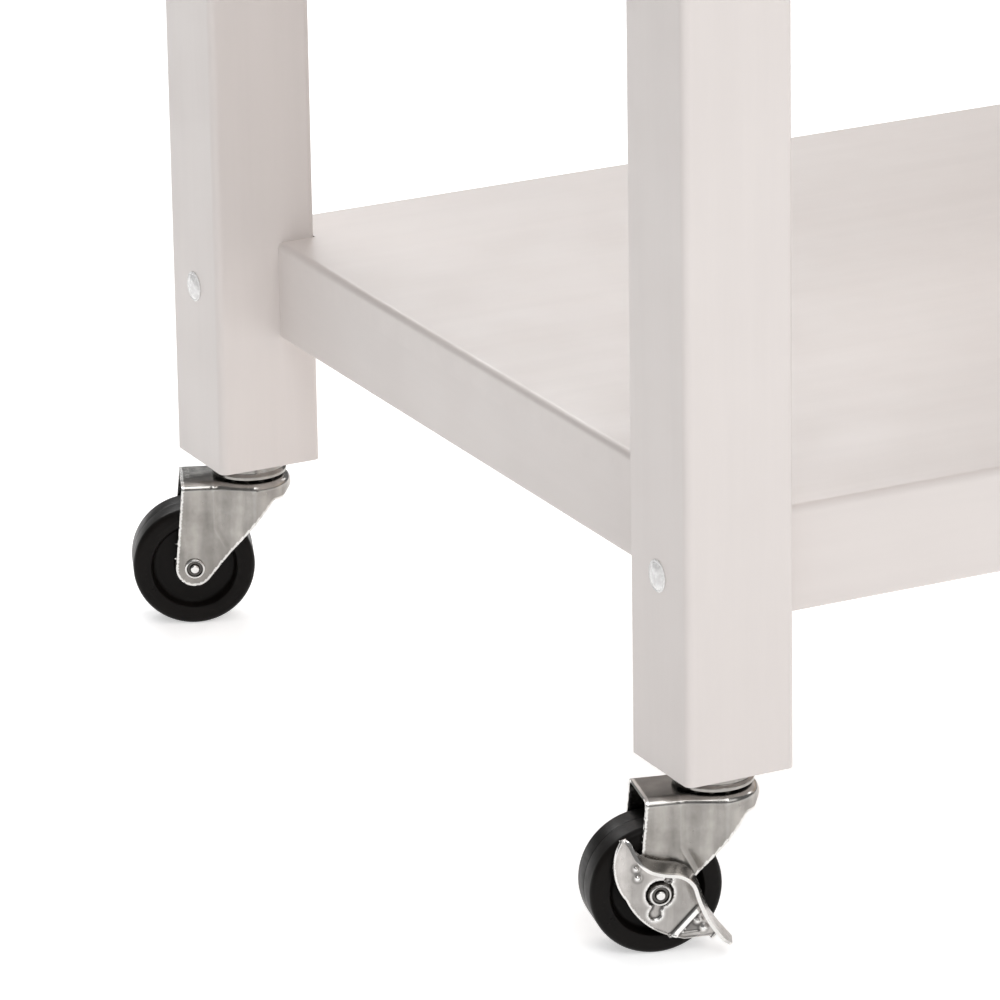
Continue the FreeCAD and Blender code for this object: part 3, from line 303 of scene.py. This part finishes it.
def finish_piece(name, mesh, material, body, replaced=(), turn=None):
    """Object from a mesh, put in place, with its finish and body; the CAD nodes that it stands for are
    hidden.
    """
    piece = bpy.data.objects.new(name, mesh)
    bpy.context.collection.objects.link(piece)
    if turn is not None:
        piece.matrix_world = turn
    if not mesh.materials:
        mesh.materials.append(material)
    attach(piece, body)
    for node in replaced:
        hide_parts(node)
    return piece


def loose_parts(built):
    """Faces of a mesh, one list for each connected part, in the order of the faces."""
    seen, parts = set(), []
    for first in built.faces:
        if first in seen:
            continue
        seen.add(first)
        part, to_visit = [], [first]
        while to_visit:
            face = to_visit.pop()
            part.append(face)
            for edge in face.edges:
                for other in edge.link_faces:
                    if other not in seen:
                        seen.add(other)
                        to_visit.append(other)
        parts.append(part)
    return parts


def make_mesh(name, points, faces, outward=None):
    """Smooth mesh. An open sheet's outward(centre) says which way each part of it faces."""
    mesh = bpy.data.meshes.new(name)
    mesh.from_pydata([Vector(point) * MM for point in points], [], faces)
    built = bmesh.new()
    built.from_mesh(mesh)
    bmesh.ops.remove_doubles(built, verts=built.verts, dist=MERGE)
    bmesh.ops.dissolve_degenerate(built, edges=built.edges, dist=SLIVER)
    bmesh.ops.recalc_face_normals(built, faces=built.faces)
    for part in loose_parts(built) if outward else ():
        facing = sum(face.normal.dot(outward(face.calc_center_median() / MM)) * face.calc_area()
                     for face in part)
        if facing < 0:
            bmesh.ops.reverse_faces(built, faces=part)
    built.to_mesh(mesh)
    built.free()
    for polygon in mesh.polygons:
        polygon.use_smooth = True
    return mesh


def rounded(corners):
    """Open run of (a, b) points from (a, b, radius) corners."""
    run, steps = [], 6
    for i, (a, b, radius) in enumerate(corners):
        here = Vector((a, b))
        if radius == 0 or i in (0, len(corners) - 1):
            run.append(here)
            continue
        before = (Vector(corners[i - 1][:2]) - here).normalized()
        after = (Vector(corners[i + 1][:2]) - here).normalized()
        half = before.angle(after) / 2
        reach = radius / math.tan(half)
        start, end = here + before * reach, here + after * reach
        centre = here + (before + after).normalized() * (radius / math.sin(half))
        first = math.atan2(*(start - centre).yx)
        turn = (math.atan2(*(end - centre).yx) - first + math.pi) % (2 * math.pi) - math.pi
        for step in range(steps + 1):
            angle = first + turn * step / steps
            run.append(centre + Vector((math.cos(angle), math.sin(angle))) * radius)
    return run


def row_faces(base, rows, columns, closed=False):
    """Four-sided faces between rows of points that start at base."""
    for row in range(rows - 1):
        for i in range(columns if closed else columns - 1):
            a, b, j = base + row * columns, base + (row + 1) * columns, (i + 1) % columns
            yield a + i, a + j, b + j, b + i


def lathed(name, corners, segments):
    """Turned shape about Z from (radius, height, corner radius) corners."""
    run = rounded(corners)
    points = []
    for r, h in run:
        for i in range(segments):
            turn = 2 * math.pi * i / segments
            points.append((r * math.cos(turn), r * math.sin(turn), h))
    return make_mesh(name, points, list(row_faces(0, len(run), segments, closed=True)))


def inside(outline, spots):
    """Which of the spots lie within a closed outline."""
    x, y = spots[:, 0], spots[:, 1]
    result = np.zeros(len(spots), bool)
    for (ax, ay), (bx, by) in zip(outline, np.roll(outline, -1, axis=0)):
        if ay != by:
            crosses = (ay > y) != (by > y)
            result ^= crosses & (x < (bx - ax) * (y - ay) / (by - ay) + ax)
    return result


def edge_distance(outline, spots):
    """Distance of each spot from a closed outline."""
    best = np.full(len(spots), 1e9)
    for start, end in zip(outline, np.roll(outline, -1, axis=0)):
        run = end - start
        length = max(run @ run, 1e-12)
        part = np.clip(((spots - start) @ run) / length, 0, 1)
        best = np.minimum(best, np.linalg.norm(spots - start - part[:, None] * run, axis=1))
    return best


def evenly(points, spacing, closed=True):
    """The same run with points no further apart than the spacing."""
    result = []
    count = len(points) if closed else len(points) - 1
    for i in range(count):
        start, end = np.array(points[i], float), np.array(points[(i + 1) % len(points)], float)
        parts = max(1, math.ceil(np.linalg.norm(end - start) / spacing))
        result += [start + (end - start) * k / parts for k in range(parts)]
    if not closed:
        result.append(np.array(points[-1], float))
    return np.array(result)


def filled(outline, spacing, margin=0.45):
    """Fine triangles over a flat closed outline, with an even strip along its edge, as (spots, faces)."""
    along = np.roll(outline, -1, axis=0) - np.roll(outline, 1, axis=0)
    aside = np.column_stack([-along[:, 1], along[:, 0]]) / np.linalg.norm(along, axis=1)[:, None]
    area = np.sum(outline[:, 0] * np.roll(outline[:, 1], -1) - outline[:, 1] * np.roll(outline[:, 0], -1))
    strip = outline + aside * margin * np.sign(area)
    strip = strip[inside(outline, strip)]
    strip = strip[edge_distance(outline, strip) > margin * 0.9]
    low, high = outline.min(0), outline.max(0)
    rows = np.arange(low[1], high[1], spacing * 0.87)
    grid = [(x + (spacing / 2 if i % 2 else 0), y) for i, y in enumerate(rows)
            for x in np.arange(low[0], high[0], spacing)]
    grid = np.array(grid)
    grid = grid[inside(outline, grid)]
    grid = grid[edge_distance(outline, grid) > margin + spacing * 0.5]
    spots = [Vector(p) for p in np.concatenate([outline, strip, grid])]
    ring = [(i, (i + 1) % len(outline)) for i in range(len(outline))]
    spots, _, faces, *_ = delaunay_2d_cdt(spots, ring, [], 0, 1e-6)
    spots = np.array([tuple(p) for p in spots])
    centres = np.array([spots[list(face)].mean(0) for face in faces])
    keep = inside(outline, centres)
    return spots, [tuple(face) for face, kept in zip(faces, keep) if kept]


def smooth(low, high, amount):
    """0 at low, 1 at high, with a soft start and end."""
    part = np.clip((amount - low) / (high - low), 0, 1)
    return part * part * (3 - 2 * part)


def thicken(piece, thickness, bevel):
    """Give an open sheet its thickness, inwards, and a small round on its cut edges."""
    solid = piece.modifiers.new("sheet", "SOLIDIFY")
    solid.thickness = thickness * MM
    solid.offset = -1
    edges = piece.modifiers.new("edges", "BEVEL")
    edges.width = bevel * MM
    edges.segments = 2
    edges.limit_method = "ANGLE"
    edges.angle_limit = math.radians(50)


# ---------------------------------------------------------------- casters
# Caster pieces are drawn with the swivel axis as Z, +X along the trail and +Y through the axle to the
# outside of the cart, then put under each leg.

def caster_place(corner):
    """Where a caster's own drawing goes under its leg."""
    swivel = Vector(joints[f"swivel_{corner}"]["pos_m"])
    trail = Vector(joints[f"wheel_spin_{corner}"]["pos_m"]) - swivel
    turn = Matrix.Rotation(math.atan2(trail.y, trail.x), 4, "Z")
    return Matrix.Translation((swivel.x, swivel.y, 0)) @ turn


first_swivel, first_axle = (Vector(joints[f"{kind}_front_left"]["pos_m"]) / MM
                            for kind in ("swivel", "wheel_spin"))
LEAD = (first_axle - first_swivel).xy.length
AXLE = first_axle.z
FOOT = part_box("leg_front_left")[0].z / MM
TREAD = AXLE
CAP_UNDER = FOOT - 7.5
CROWN = CAP_UNDER - 1.0
ONTO_AXLE = Matrix.Translation(Vector((LEAD, 0, AXLE)) * MM) @ Matrix.Rotation(-math.pi / 2, 4, "X")

# Fork: half its width, radius of its round back, sheet, bend over the top, depth of the skirt behind.
HALF, ROUND, SHEET, BEND, SKIRT = 13.0, 17.2, 1.5, 3.4, 8.0
KINGPIN = 5.05
# The sides flare from below the axle up; their corner moves out along the trail as they rise.
FLARE_LOW, FLARE_RISE, FLARE_CORNER, FLARE_SHIFT, FLARE_SOFT = -8.75, 25.75, 1, 13.2, 0.3
AXLE_PLAY = 0.05
LEVER_PLAY, LEVER_SHEET, LEVER_BEND, SHOE_PLAY = 0.3, 1.4, 1.0, 0.4
WHEEL_HALF = [(3.05, 11.2, 0), (7.9, 11.2, 0.9), (8.1, 6.6, 1.0), (16.9, 6.5, 1.6), (18.0, 10.9, 0.8),
              (21.0, 11.0, 3), (TREAD, 10.6, 2.6), (TREAD, 0.35, 0.1), (TREAD - 0.12, 0, 0)]
WHEEL = WHEEL_HALF + [(r, -h, c) for r, h, c in reversed(WHEEL_HALF[:-1])]
AXLE_END = [(0, 1.9, 0), (1.7, 1.8, 0.7), (2.1, 0.5, 0.2), (3.1, 0.45, 0.2), (3.35, 1.35, 0.2),
            (4.2, 1.1, 0.4), (4.2, 0, 0)]


def axle_corners(near):
    """Outline of an axle from its near head, this far out, to its far one."""
    far = HALF + AXLE_PLAY
    shank = [(3.0, near, 0), (3.0, -far, 0)]
    tail = [(r, -far - h, c) for r, h, c in reversed(AXLE_END)]
    head = [(r, near + h, c) for r, h, c in AXLE_END]
    return head + shank + tail


def axle_mesh(name, near):
    """Riveted axle, with a painted highlight on the middle and the rim of each head and painted shade in
    the groove between them and on the shank.
    """
    mesh = lathed(name, axle_corners(near), 64)
    at = np.array([tuple(vertex.co) for vertex in mesh.vertices]) / MM
    out = np.hypot(at[:, 0], at[:, 1])
    # Painted highlight on the middle of each head and on its rim; painted shade in the groove between them
    # and on the shank.
    tone = 0.6 * smooth(2.0, 1.4, out) - 0.9 * smooth(1.7, 2.1, out) * smooth(3.5, 3.1, out)
    return mark_painted_light(mesh, tone + 0.5 * smooth(3.3, 3.6, out))


STEM = [(0, CROWN - 4.3, 0), (7, CROWN - 4.3, 1.2), (7, CROWN - 2.3, 0.4), (5, CROWN - 2.3, 0),
        (5, CAP_UNDER + 0.2, 0.2), (14.9, CAP_UNDER, 0.3), (15.5, CAP_UNDER + 0.1, 0.5),
        (15.5, CAP_UNDER + 1.5, 0.6), (14.5, CAP_UNDER + 2.4, 1.2), (14.2, FOOT - 1.6, 1.8),
        (11.5, FOOT - 0.1, 0.8), (4, FOOT, 0), (4, FOOT + 27, 0.8), (0, FOOT + 27, 0)]

# Along the trail: the tongue's tip, where the skirt's edge turns down, where the round back starts. BOSS is
# the radius of the fork's lower end about the axle.
TIP, KNEE, SHOULDER, BOSS = 28.6, -9.5, -1.0, 7.75
SHOULDER_ANGLE = math.asin(-SHOULDER / ROUND)


def unrolled(x):
    """Run along the fork's outside at a place along the trail, on one side."""
    return x if x > SHOULDER else SHOULDER - ROUND * (math.asin(min(1, -x / ROUND)) - SHOULDER_ANGLE)


def wall(run, z):
    """Outer surface of one side of the fork, as (x, y) at a run and a height."""
    rise = np.clip((z - AXLE - FLARE_LOW) / FLARE_RISE, 0, 1)
    corner = FLARE_CORNER + FLARE_SHIFT * rise
    shoulder_y = math.sqrt(ROUND ** 2 - SHOULDER ** 2)
    slope = (shoulder_y - HALF) / (corner - SHOULDER)
    ahead = corner - run
    flared = HALF + slope * 0.5 * (ahead + np.sqrt(ahead ** 2 + FLARE_SOFT))
    flared += 0.22 * np.exp(-((ahead + 1.5) / 0.9) ** 2) * smooth(0.45, 0.7, rise)
    flared = np.minimum(flared, shoulder_y)
    angle = SHOULDER_ANGLE + (SHOULDER - run) / ROUND
    drop = CROWN - z
    curl = 2.6 * smooth(4.2, 9.0, drop) ** 1.5 * smooth(-14, -22, run)
    radius = ROUND - curl + 0.35 * np.exp(-((drop - SKIRT + 0.6) / 0.7) ** 2) * smooth(-16, -20, run)
    around = run < SHOULDER
    x = np.where(around, -radius * np.sin(angle), run)
    y = np.where(around, radius * np.cos(angle), flared)
    return x, y


def side_outline():
    """Side view of the fork on the unrolled run, from the tongue's top round the boss to the back."""
    skirt = CROWN - SKIRT

    def touch(x, z, turn):
        away = Vector((x - LEAD, z - AXLE))
        return math.atan2(away.y, away.x) + turn * math.acos(BOSS / away.length)

    first, last = touch(TIP, CROWN, -1), touch(KNEE, skirt, 1)
    while last > first:
        last -= 2 * math.pi
    around = [(LEAD + BOSS * math.cos(a), AXLE + BOSS * math.sin(a)) for a in np.linspace(first, last, 30)]
    start = around[0]
    part = BEND / (CROWN - start[1])
    front = (TIP + (start[0] - TIP) * part, CROWN - BEND)
    lower = evenly([front] + around + [(KNEE, skirt)], 1.0, closed=False)
    lower = [(unrolled(x), z) for x, z in lower]
    end = unrolled(-ROUND)
    return evenly(lower + [(end, skirt), (end, CROWN - BEND)], 0.7), end


def fork_mesh():
    """Outer skin of the pressed fork: two flared sides joined by one bend round the top."""
    outline, end = side_outline()
    spots, faces = filled(outline, 0.7)
    x, y = wall(spots[:, 0], spots[:, 1])
    points = list(np.column_stack([x, y, spots[:, 1]]))
    count = len(points)
    points += list(np.column_stack([x, -y, spots[:, 1]]))
    faces += [tuple(i + count for i in reversed(face)) for face in faces]

    # The bend over the top, along one side from the tongue to the back and down the other side.
    runs = np.array(sorted({round(p[0], 4) for p in outline if abs(p[1] - CROWN + BEND) < 1e-6}))[::-1]
    x, y = wall(runs, np.full(len(runs), CROWN - BEND))
    half = np.column_stack([x, y])
    path = np.concatenate([half, (half * (1, -1))[::-1][1:]])
    along = np.gradient(path, axis=0)
    outward = np.column_stack([along[:, 1], -along[:, 0]])
    outward /= np.linalg.norm(outward, axis=1)[:, None]
    if outward[0] @ (0, 1) < 0:
        outward = -outward
    base = len(points)
    steps = 7
    for step in range(steps + 1):
        angle = math.pi / 2 * step / steps
        row = path - outward * BEND * (1 - math.cos(angle))
        points += [(*p, CROWN - BEND + BEND * math.sin(angle)) for p in row]
    faces += row_faces(base, steps + 1, len(path))
    rim = path - outward * BEND
    top_outline = np.concatenate([rim, evenly([rim[-1], rim[0]], 0.8, closed=False)[1:-1]])
    spots, top_faces = filled(top_outline, 1.0)
    keep = np.linalg.norm(spots, axis=1) > KINGPIN
    base = len(points)
    points += [(*p, CROWN) for p in spots]
    faces += [tuple(base + i for i in face) for face in top_faces if all(keep[list(face)])]
    return make_mesh("fork", points, faces, lambda centre: centre - Vector((8, 0, CROWN - 20)))


# Brake lever, seen from outside with the axle at the origin: u towards the swivel axis, v up.
FOLD_START, FOLD_HEADING = (27.2, -18.9), 129
FOLD = ((6, 0), (20, -25), (15.5, 70), (20.5, -44))  # length and turn of each run from the pedal's end
FREE_EDGE = ((-17.4, 11.0), (-13.0, -1.0)), ((-6.5, -10.5), (3.9, -16.9))
LEAF_FOOT = ((9.0, -18.7), (21.5, -18.5))
LEAF_FACE, FLANGE, DROOP = HALF + LEVER_PLAY + LEVER_SHEET, 9.0, 15
SHOE_MIDDLE, SHOE_TURN, SHOE_REACH = -38.5, 6.5, 17  # degrees about the axle, depth over the tread
# Pressed marks: the gusset's triangle, the pips (u, v, size) and the keyhole round the axle.
GUSSET = ((4.6, -17.6), (14.6, -7.4), (19.6, -17.2))
PIPS = ((-8.9, 11.0, 0.9), (-8.3, 7.2, 1.0), (14.4, -12.2, 1.2), (16.6, -15.2, 1.1))
BOLT_WELL, LOW_LOBE, NOTCH = 5.3, ((-1.8, -7.7), 2.5), ((3.3, 5.1), 1.5)
NECK = ((0, -3), (-1.6, -7), 2.0)  # from the well down to the low lobe, and its half width


def chained(start, heading, runs, spacing=0.45):
    """Tangent runs of a length and a turn in degrees, as a fine line."""
    place, heading = np.array(start, float), math.radians(heading)
    line = [place]
    for length, turn in runs:
        parts = math.ceil(length / spacing)
        for _ in range(parts):
            heading += math.radians(turn) / parts / 2
            place = place + length / parts * np.array((math.cos(heading), math.sin(heading)))
            heading += math.radians(turn) / parts / 2
            line.append(place)
    return np.array(line)


def through(start, middle, end, parts=24):
    """Arc through three points."""
    a, b, c = (complex(*p) for p in (start, middle, end))
    w = (c - a) / (b - a)
    centre = (b - a) * (w - abs(w) ** 2) / (2j * w.imag) + a
    radius = abs(a - centre)
    first = math.atan2((a - centre).imag, (a - centre).real)
    turn = math.atan2(((c - centre) / (a - centre)).imag, ((c - centre) / (a - centre)).real)
    half = math.atan2(((b - centre) / (a - centre)).imag, ((b - centre) / (a - centre)).real)
    if (half > 0) != (turn > 0):
        turn -= math.copysign(2 * math.pi, turn)
    return [(centre.real + radius * math.cos(first + turn * k / parts),
             centre.imag + radius * math.sin(first + turn * k / parts)) for k in range(1, parts + 1)]


def segment_distance(spots, start, end):
    """Distance of each spot from a straight piece."""
    run = np.array(end) - start
    part = np.clip(((spots - start) @ run) / (run @ run), 0, 1)
    return np.linalg.norm(spots - start - part[:, None] * run, axis=1)


def run_distance(spots, run):
    """Distance of each spot from an open run of points."""
    return np.minimum.reduce([segment_distance(spots, start, end) for start, end in zip(run, run[1:])])


def keyhole_gap(spots):
    """Distance outside the pressed keyhole round the axle, negative within it."""
    lobes = [np.linalg.norm(spots, axis=1) - BOLT_WELL]
    lobes += [np.linalg.norm(spots - np.array(centre), axis=1) - size for centre, size in (LOW_LOBE, NOTCH)]
    lobes.append(segment_distance(spots, *NECK[:2]) - NECK[2])
    return np.minimum.reduce(lobes)


def gusset_gaps(spots):
    """Depth within the gusset's triangle, negative outside it, and distance from its ridge."""
    triangle = np.array(GUSSET)
    within = np.where(inside(triangle, spots), 1, -1) * edge_distance(triangle, spots)
    return within, segment_distance(spots, GUSSET[0], GUSSET[1])


def embossing(spots, free_edge):
    """How far the leaf stands out towards the outside."""
    well = keyhole_gap(spots)
    height = -0.75 * smooth(0.35, -0.35, well)
    height = height + 0.28 * np.exp(-(well / 0.55) ** 2)
    height = height + 0.30 * np.exp(-(free_edge / 0.8) ** 2)
    within, ridge = gusset_gaps(spots)
    height = height + 0.85 * smooth(1.7, 0.9, ridge) - 0.45 * smooth(0.6, 1.8, within)
    for u, v, size in PIPS:
        spread = np.linalg.norm(spots - (u, v), axis=1)
        height = height + 0.9 * np.exp(-(spread / size) ** 2)
    return height


def painted_lighting(spots):
    """Where the leaf gets a painted highlight (to 1) and where it gets painted shade (to -1)."""
    well = keyhole_gap(spots)
    # Painted shade just inside the keyhole's edge and a painted highlight just outside it; painted shade in
    # the gusset's hollow, a painted highlight on its ridge with painted shade beside it; painted highlights
    # on the pips, ringed with painted shade.
    tone = -0.8 * np.exp(-((well + 0.5) / 0.55) ** 2) + 0.45 * np.exp(-((well - 0.7) / 0.6) ** 2)
    within, ridge = gusset_gaps(spots)
    tone = tone - 0.5 * smooth(0.8, 2.0, within)
    tone = tone + 0.8 * smooth(1.4, 0.7, ridge) - 0.6 * np.exp(-((ridge - 1.7) / 0.35) ** 2)
    for u, v, size in PIPS:
        spread = np.linalg.norm(spots - (u, v), axis=1)
        tone = tone + 1.3 * np.exp(-(spread / size) ** 2) - 0.4 * np.exp(-((spread - 1.9) / 0.5) ** 2)
    return np.clip(tone, -1, 1)


def lever_mesh():
    """Outer skin of the brake lever: a leaf beside the wheel, a flange with the pedal, and the shoe."""
    pedal = chained(FOLD_START, FOLD_HEADING, FOLD[:1])
    back = chained(FOLD_START, FOLD_HEADING, FOLD)
    along = np.gradient(back, axis=0)
    along /= np.linalg.norm(along, axis=1)[:, None]
    away = np.column_stack([along[:, 1], -along[:, 0]])
    run = np.concatenate([[0], np.cumsum(np.linalg.norm(np.diff(back, axis=0), axis=1))])
    left = run[-1] - run
    fold = back - away * ((LEVER_BEND + LEVER_SHEET) * smooth(-1, 9, left))[:, None]
    on_leaf = fold[len(pedal) - 1:]
    tip = tuple(fold[-1])
    edge = through(tip, *FREE_EDGE[0]) + through(FREE_EDGE[0][1], *FREE_EDGE[1])
    foot = evenly([edge[-1], *LEAF_FOOT, tuple(on_leaf[0])], 0.5, closed=False)[1:-1]
    edge = evenly([tip] + edge, 0.5, closed=False)[1:]
    outline = np.concatenate([on_leaf, edge, foot])
    spots, faces = filled(outline, 0.42)
    free = np.concatenate([[tip], edge, foot])
    height = embossing(spots, run_distance(spots, free)) * smooth(0.2, 1.6, run_distance(spots, on_leaf))
    points = [(LEAD - u, LEAF_FACE + h, AXLE + v) for (u, v), h in zip(spots, height)]

    # The flange: a round bend, then a wing that droops a little and runs out at the upper point.
    width = np.maximum(FLANGE * smooth(-0.5, 13, left) * (0.72 + 0.28 * smooth(0, 5, run)), 0.3)
    rows = []
    for k in range(6):
        angle = math.pi / 2 * k / 5
        size = np.minimum(LEVER_BEND, width)
        rows.append((size * math.sin(angle), size * (1 - math.cos(angle))))
    lean = math.tan(math.radians(DROOP))
    for k in range(1, 13):
        out = np.maximum(width - LEVER_BEND, 0) * k / 12
        size = np.minimum(LEVER_BEND, width)
        rows.append((size - out * lean, size + out))
    base = len(points)
    for aside, out in rows:
        row = fold + away * np.broadcast_to(aside, len(fold))[:, None]
        points += [(LEAD - u, LEAF_FACE + o, AXLE + v)
                   for (u, v), o in zip(row, np.broadcast_to(out, len(fold)))]
    faces += [(a, d, c, b) for a, b, c, d in row_faces(base, len(rows), len(fold))]

    # The shoe: a curved tab turned in from the leaf's lower corner over the tread.
    base = len(points)
    radius = TREAD + SHOE_PLAY + LEVER_SHEET
    angles = np.radians(np.linspace(-SHOE_TURN, SHOE_TURN, 14) + SHOE_MIDDLE)
    depths = np.linspace(0, SHOE_REACH, 16)
    for depth in depths:
        lift = 1.2 * smooth(2.0, 0.0, depth)
        points += [(LEAD - (radius + lift) * math.cos(a), LEAF_FACE - depth,
                    AXLE + (radius + lift) * math.sin(a)) for a in angles]
    faces += row_faces(base, len(depths), len(angles))
    axle = Vector((LEAD, 0, AXLE))
    mesh = make_mesh("brake_lever", points, faces, lambda centre: Vector((0, 1, 0))
                     if centre.y > LEAF_FACE - 1 else (centre - axle) * Vector((1, 0, 1)))
    at = np.array([tuple(vertex.co) for vertex in mesh.vertices]) / MM
    # Painted highlights and painted shade on the leaf's outer face only.
    tone = painted_lighting(np.column_stack([LEAD - at[:, 0], at[:, 2] - AXLE]))
    tone[np.abs(at[:, 1] - LEAF_FACE) > 1.6] = 0
    return mark_painted_light(mesh, tone)


fork, lever = fork_mesh(), lever_mesh()
wheel = lathed("wheel", WHEEL, 128)
stem = lathed("stem", STEM, 96)
axles = {True: axle_mesh("braked_axle", LEAF_FACE + LEVER_PLAY),
         False: axle_mesh("plain_axle", HALF + AXLE_PLAY)}
for corner in CORNERS:
    place = caster_place(corner)
    braked = corner in BRAKED
    shell = finish_piece(f"fork_shell_{corner}", fork, ZINC, f"caster_fork_{corner}",
                         [f"caster_fork_{corner}"], place)
    thicken(shell, SHEET, 0.25)
    finish_piece(f"wheel_{corner}", wheel, BLACK, f"caster_wheel_{corner}",
                 [f"caster_wheel_{corner}"], place @ ONTO_AXLE)
    finish_piece(f"axle_{corner}", axles[braked], ZINC, f"caster_fork_{corner}",
                 [f"caster_axle_{corner}"], place @ ONTO_AXLE)
    finish_piece(f"bearing_cap_{corner}", stem, ZINC, "frame",
                 [f"caster_stem_{corner}"], place)
    if braked:
        arm = finish_piece(f"lever_{corner}", lever, LEVER_ZINC,
                           f"brake_lever_{corner}", [f"brake_lever_{corner}"], place)
        thicken(arm, LEVER_SHEET, 0.2)


# ---------------------------------------------------------------- bolt caps and knobs
# Both profiles are (radius, height, corner radius), with height 0 on the board's face.

def islands(node):
    """Centres and sizes of the separate solids in a CAD node, in metres."""
    built = bmesh.new()
    built.from_mesh(nodes[node].data)
    bmesh.ops.remove_doubles(built, verts=built.verts, dist=1e-6)
    found = []
    for part in loose_parts(built):
        spots = np.array([tuple(vert.co) for face in part for vert in face.verts])
        found.append((Vector(spots.min(0)), Vector(spots.max(0))))
    built.free()
    return found


def together(name, mesh, places):
    """One mesh with a copy at each place."""
    built = bmesh.new()
    for place in places:
        copy = mesh.copy()
        copy.transform(place)
        built.from_mesh(copy)
        bpy.data.meshes.remove(copy)
    joined = bpy.data.meshes.new(name)
    built.to_mesh(joined)
    built.free()
    for polygon in joined.polygons:
        polygon.use_smooth = True
    return joined


CAP_PROFILE = [(0, -3, 0), (5.2, -3, 0.4), (5.3, 0.02, 0), (6.2, 0.02, 0.1), (6.2, 0.45, 0.35),
               (5.55, 0.62, 0.25), (5.35, 0.35, 0.15), (5.1, 0.75, 0.3), (3.4, 1.5, 2.2), (0, 1.6, 0)]
KNOB_PROFILE = [(0, 0, 0), (8.2, 0, 0.5), (8.0, 1.2, 0.5), (6.0, 6.5, 4), (6.4, 11, 3), (13.5, 13.4, 2.5),
                (15, 16.5, 2.6), (13.2, 20.4, 4), (8, 22.4, 6), (0, 23, 0)]
cap = lathed("cap", CAP_PROFILE, 48)
cap_places = []
for low, high in islands("bolt_caps"):
    side = 1 if low.x > 0 else -1
    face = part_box("leg_front_right")[1].x if side > 0 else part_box("leg_front_left")[0].x
    middle = (low + high) / 2
    turn = Matrix.Rotation(side * math.pi / 2, 4, "Y")
    cap_places.append(Matrix.Translation((face, middle.y, middle.z)) @ turn)
finish_piece("bolt_cover_caps", together("caps", cap, cap_places), CAP, "frame",
             ["bolt_caps"])
knob = lathed("knob", KNOB_PROFILE, 72)
knob_places = [Matrix.Translation(((low.x + high.x) / 2, high.y, (low.z + high.z) / 2))
               @ Matrix.Rotation(math.pi / 2, 4, "X") for low, high in islands("drawer_knobs")]
finish_piece("drawer_pulls", together("pulls", knob, knob_places), NICKEL, "drawer",
             ["drawer_knobs"])


# ---------------------------------------------------------------- floor, light and camera

SOFT_BOXES = (  # name, place, aimed at, width and height in metres, power in watts
    ("key_light", (-0.72, -2.05, 1.95), (-0.2, 0, 0.2), 1.8, 1.4, 24),
    ("front_light", (0.5, -3.4, 1.6), (-0.1, 0, 0.2), 2.4, 1.4, 12),
    ("top_light", (-0.2, -0.2, 3.4), (-0.1, 0, 0), 3.4, 3.0, 36),
    ("back_light", (0.2, 2.7, 2.0), (0, 0, 0.2), 2.6, 1.4, 52),
    ("side_light", (2.9, 0.2, 1.9), (0, 0, 0.2), 2.2, 1.4, 34))
FLOOR_REACH, FLOOR_GLOW, WORLD_GLOW = 30.0, 0.5, 0.22
CAMERA_PLACE, CAMERA_TURN = (-1.6125, -2.4518, 1.0607), (26.645, 19.140, -0.909)  # yaw, pitch, roll
SENSOR_WIDTH, FOCAL_LENGTH = 36, 266.15

floor_surface = Surface("studio_floor", Specular_IOR_Level=0.2)
floor_cloud = floor_surface.noise(1.3, 3, 0.5)
floor_surface.colour(floor_surface.ramp(floor_cloud, (0.3, (0.90, 0.90, 0.90)), (0.7, (0.92, 0.92, 0.92))))
floor_surface.roughness(floor_cloud, 0.85, 0.95)
floor_surface.shader.inputs["Emission Color"].default_value = (1, 1, 1, 1)
floor_surface.shader.inputs["Emission Strength"].default_value = FLOOR_GLOW
floor_mesh = bpy.data.meshes.new("floor")
floor_corners = [(x * FLOOR_REACH, y * FLOOR_REACH, 0) for x, y in ((-1, -1), (1, -1), (1, 1), (-1, 1))]
floor_mesh.from_pydata(floor_corners, [], [(0, 1, 2, 3)])
floor_mesh.materials.append(floor_surface.material)
floor = bpy.data.objects.new("floor", floor_mesh)
bpy.context.collection.objects.link(floor)

world = bpy.data.worlds.new("studio")
bpy.context.scene.world = world
world.use_nodes = True
world.node_tree.nodes["Background"].inputs["Color"].default_value = (1.0, 1.0, 1.0, 1)
world.node_tree.nodes["Background"].inputs["Strength"].default_value = WORLD_GLOW

for light_name, light_place, target, width, height, power in SOFT_BOXES:
    light = bpy.data.lights.new(light_name, "AREA")
    light.shape = "RECTANGLE"
    light.size, light.size_y = width, height
    light.energy = power
    lamp = bpy.data.objects.new(light_name, light)
    bpy.context.collection.objects.link(lamp)
    lamp.location = light_place
    lamp.rotation_euler = (Vector(target) - lamp.location).to_track_quat("-Z", "Y").to_euler()

camera_data = bpy.data.cameras.new("camera")
camera_data.sensor_width = SENSOR_WIDTH
camera_data.lens = FOCAL_LENGTH
camera_data.clip_start, camera_data.clip_end = 0.05, 100
camera = bpy.data.objects.new("camera", camera_data)
bpy.context.collection.objects.link(camera)
camera.location = CAMERA_PLACE
yaw, pitch, roll = (math.radians(angle) for angle in CAMERA_TURN)
forward = Vector((math.sin(yaw) * math.cos(pitch), math.cos(yaw) * math.cos(pitch), -math.sin(pitch)))
level_right = Vector((math.cos(yaw), -math.sin(yaw), 0))
level_up = level_right.cross(forward)
right = level_right * math.cos(roll) + level_up * math.sin(roll)
up = level_up * math.cos(roll) - level_right * math.sin(roll)
camera.rotation_mode = "QUATERNION"
camera.rotation_quaternion = Matrix((right, up, -forward)).transposed().to_quaternion()
bpy.context.scene.camera = camera
bpy.context.scene.view_settings.view_transform = "Standard"
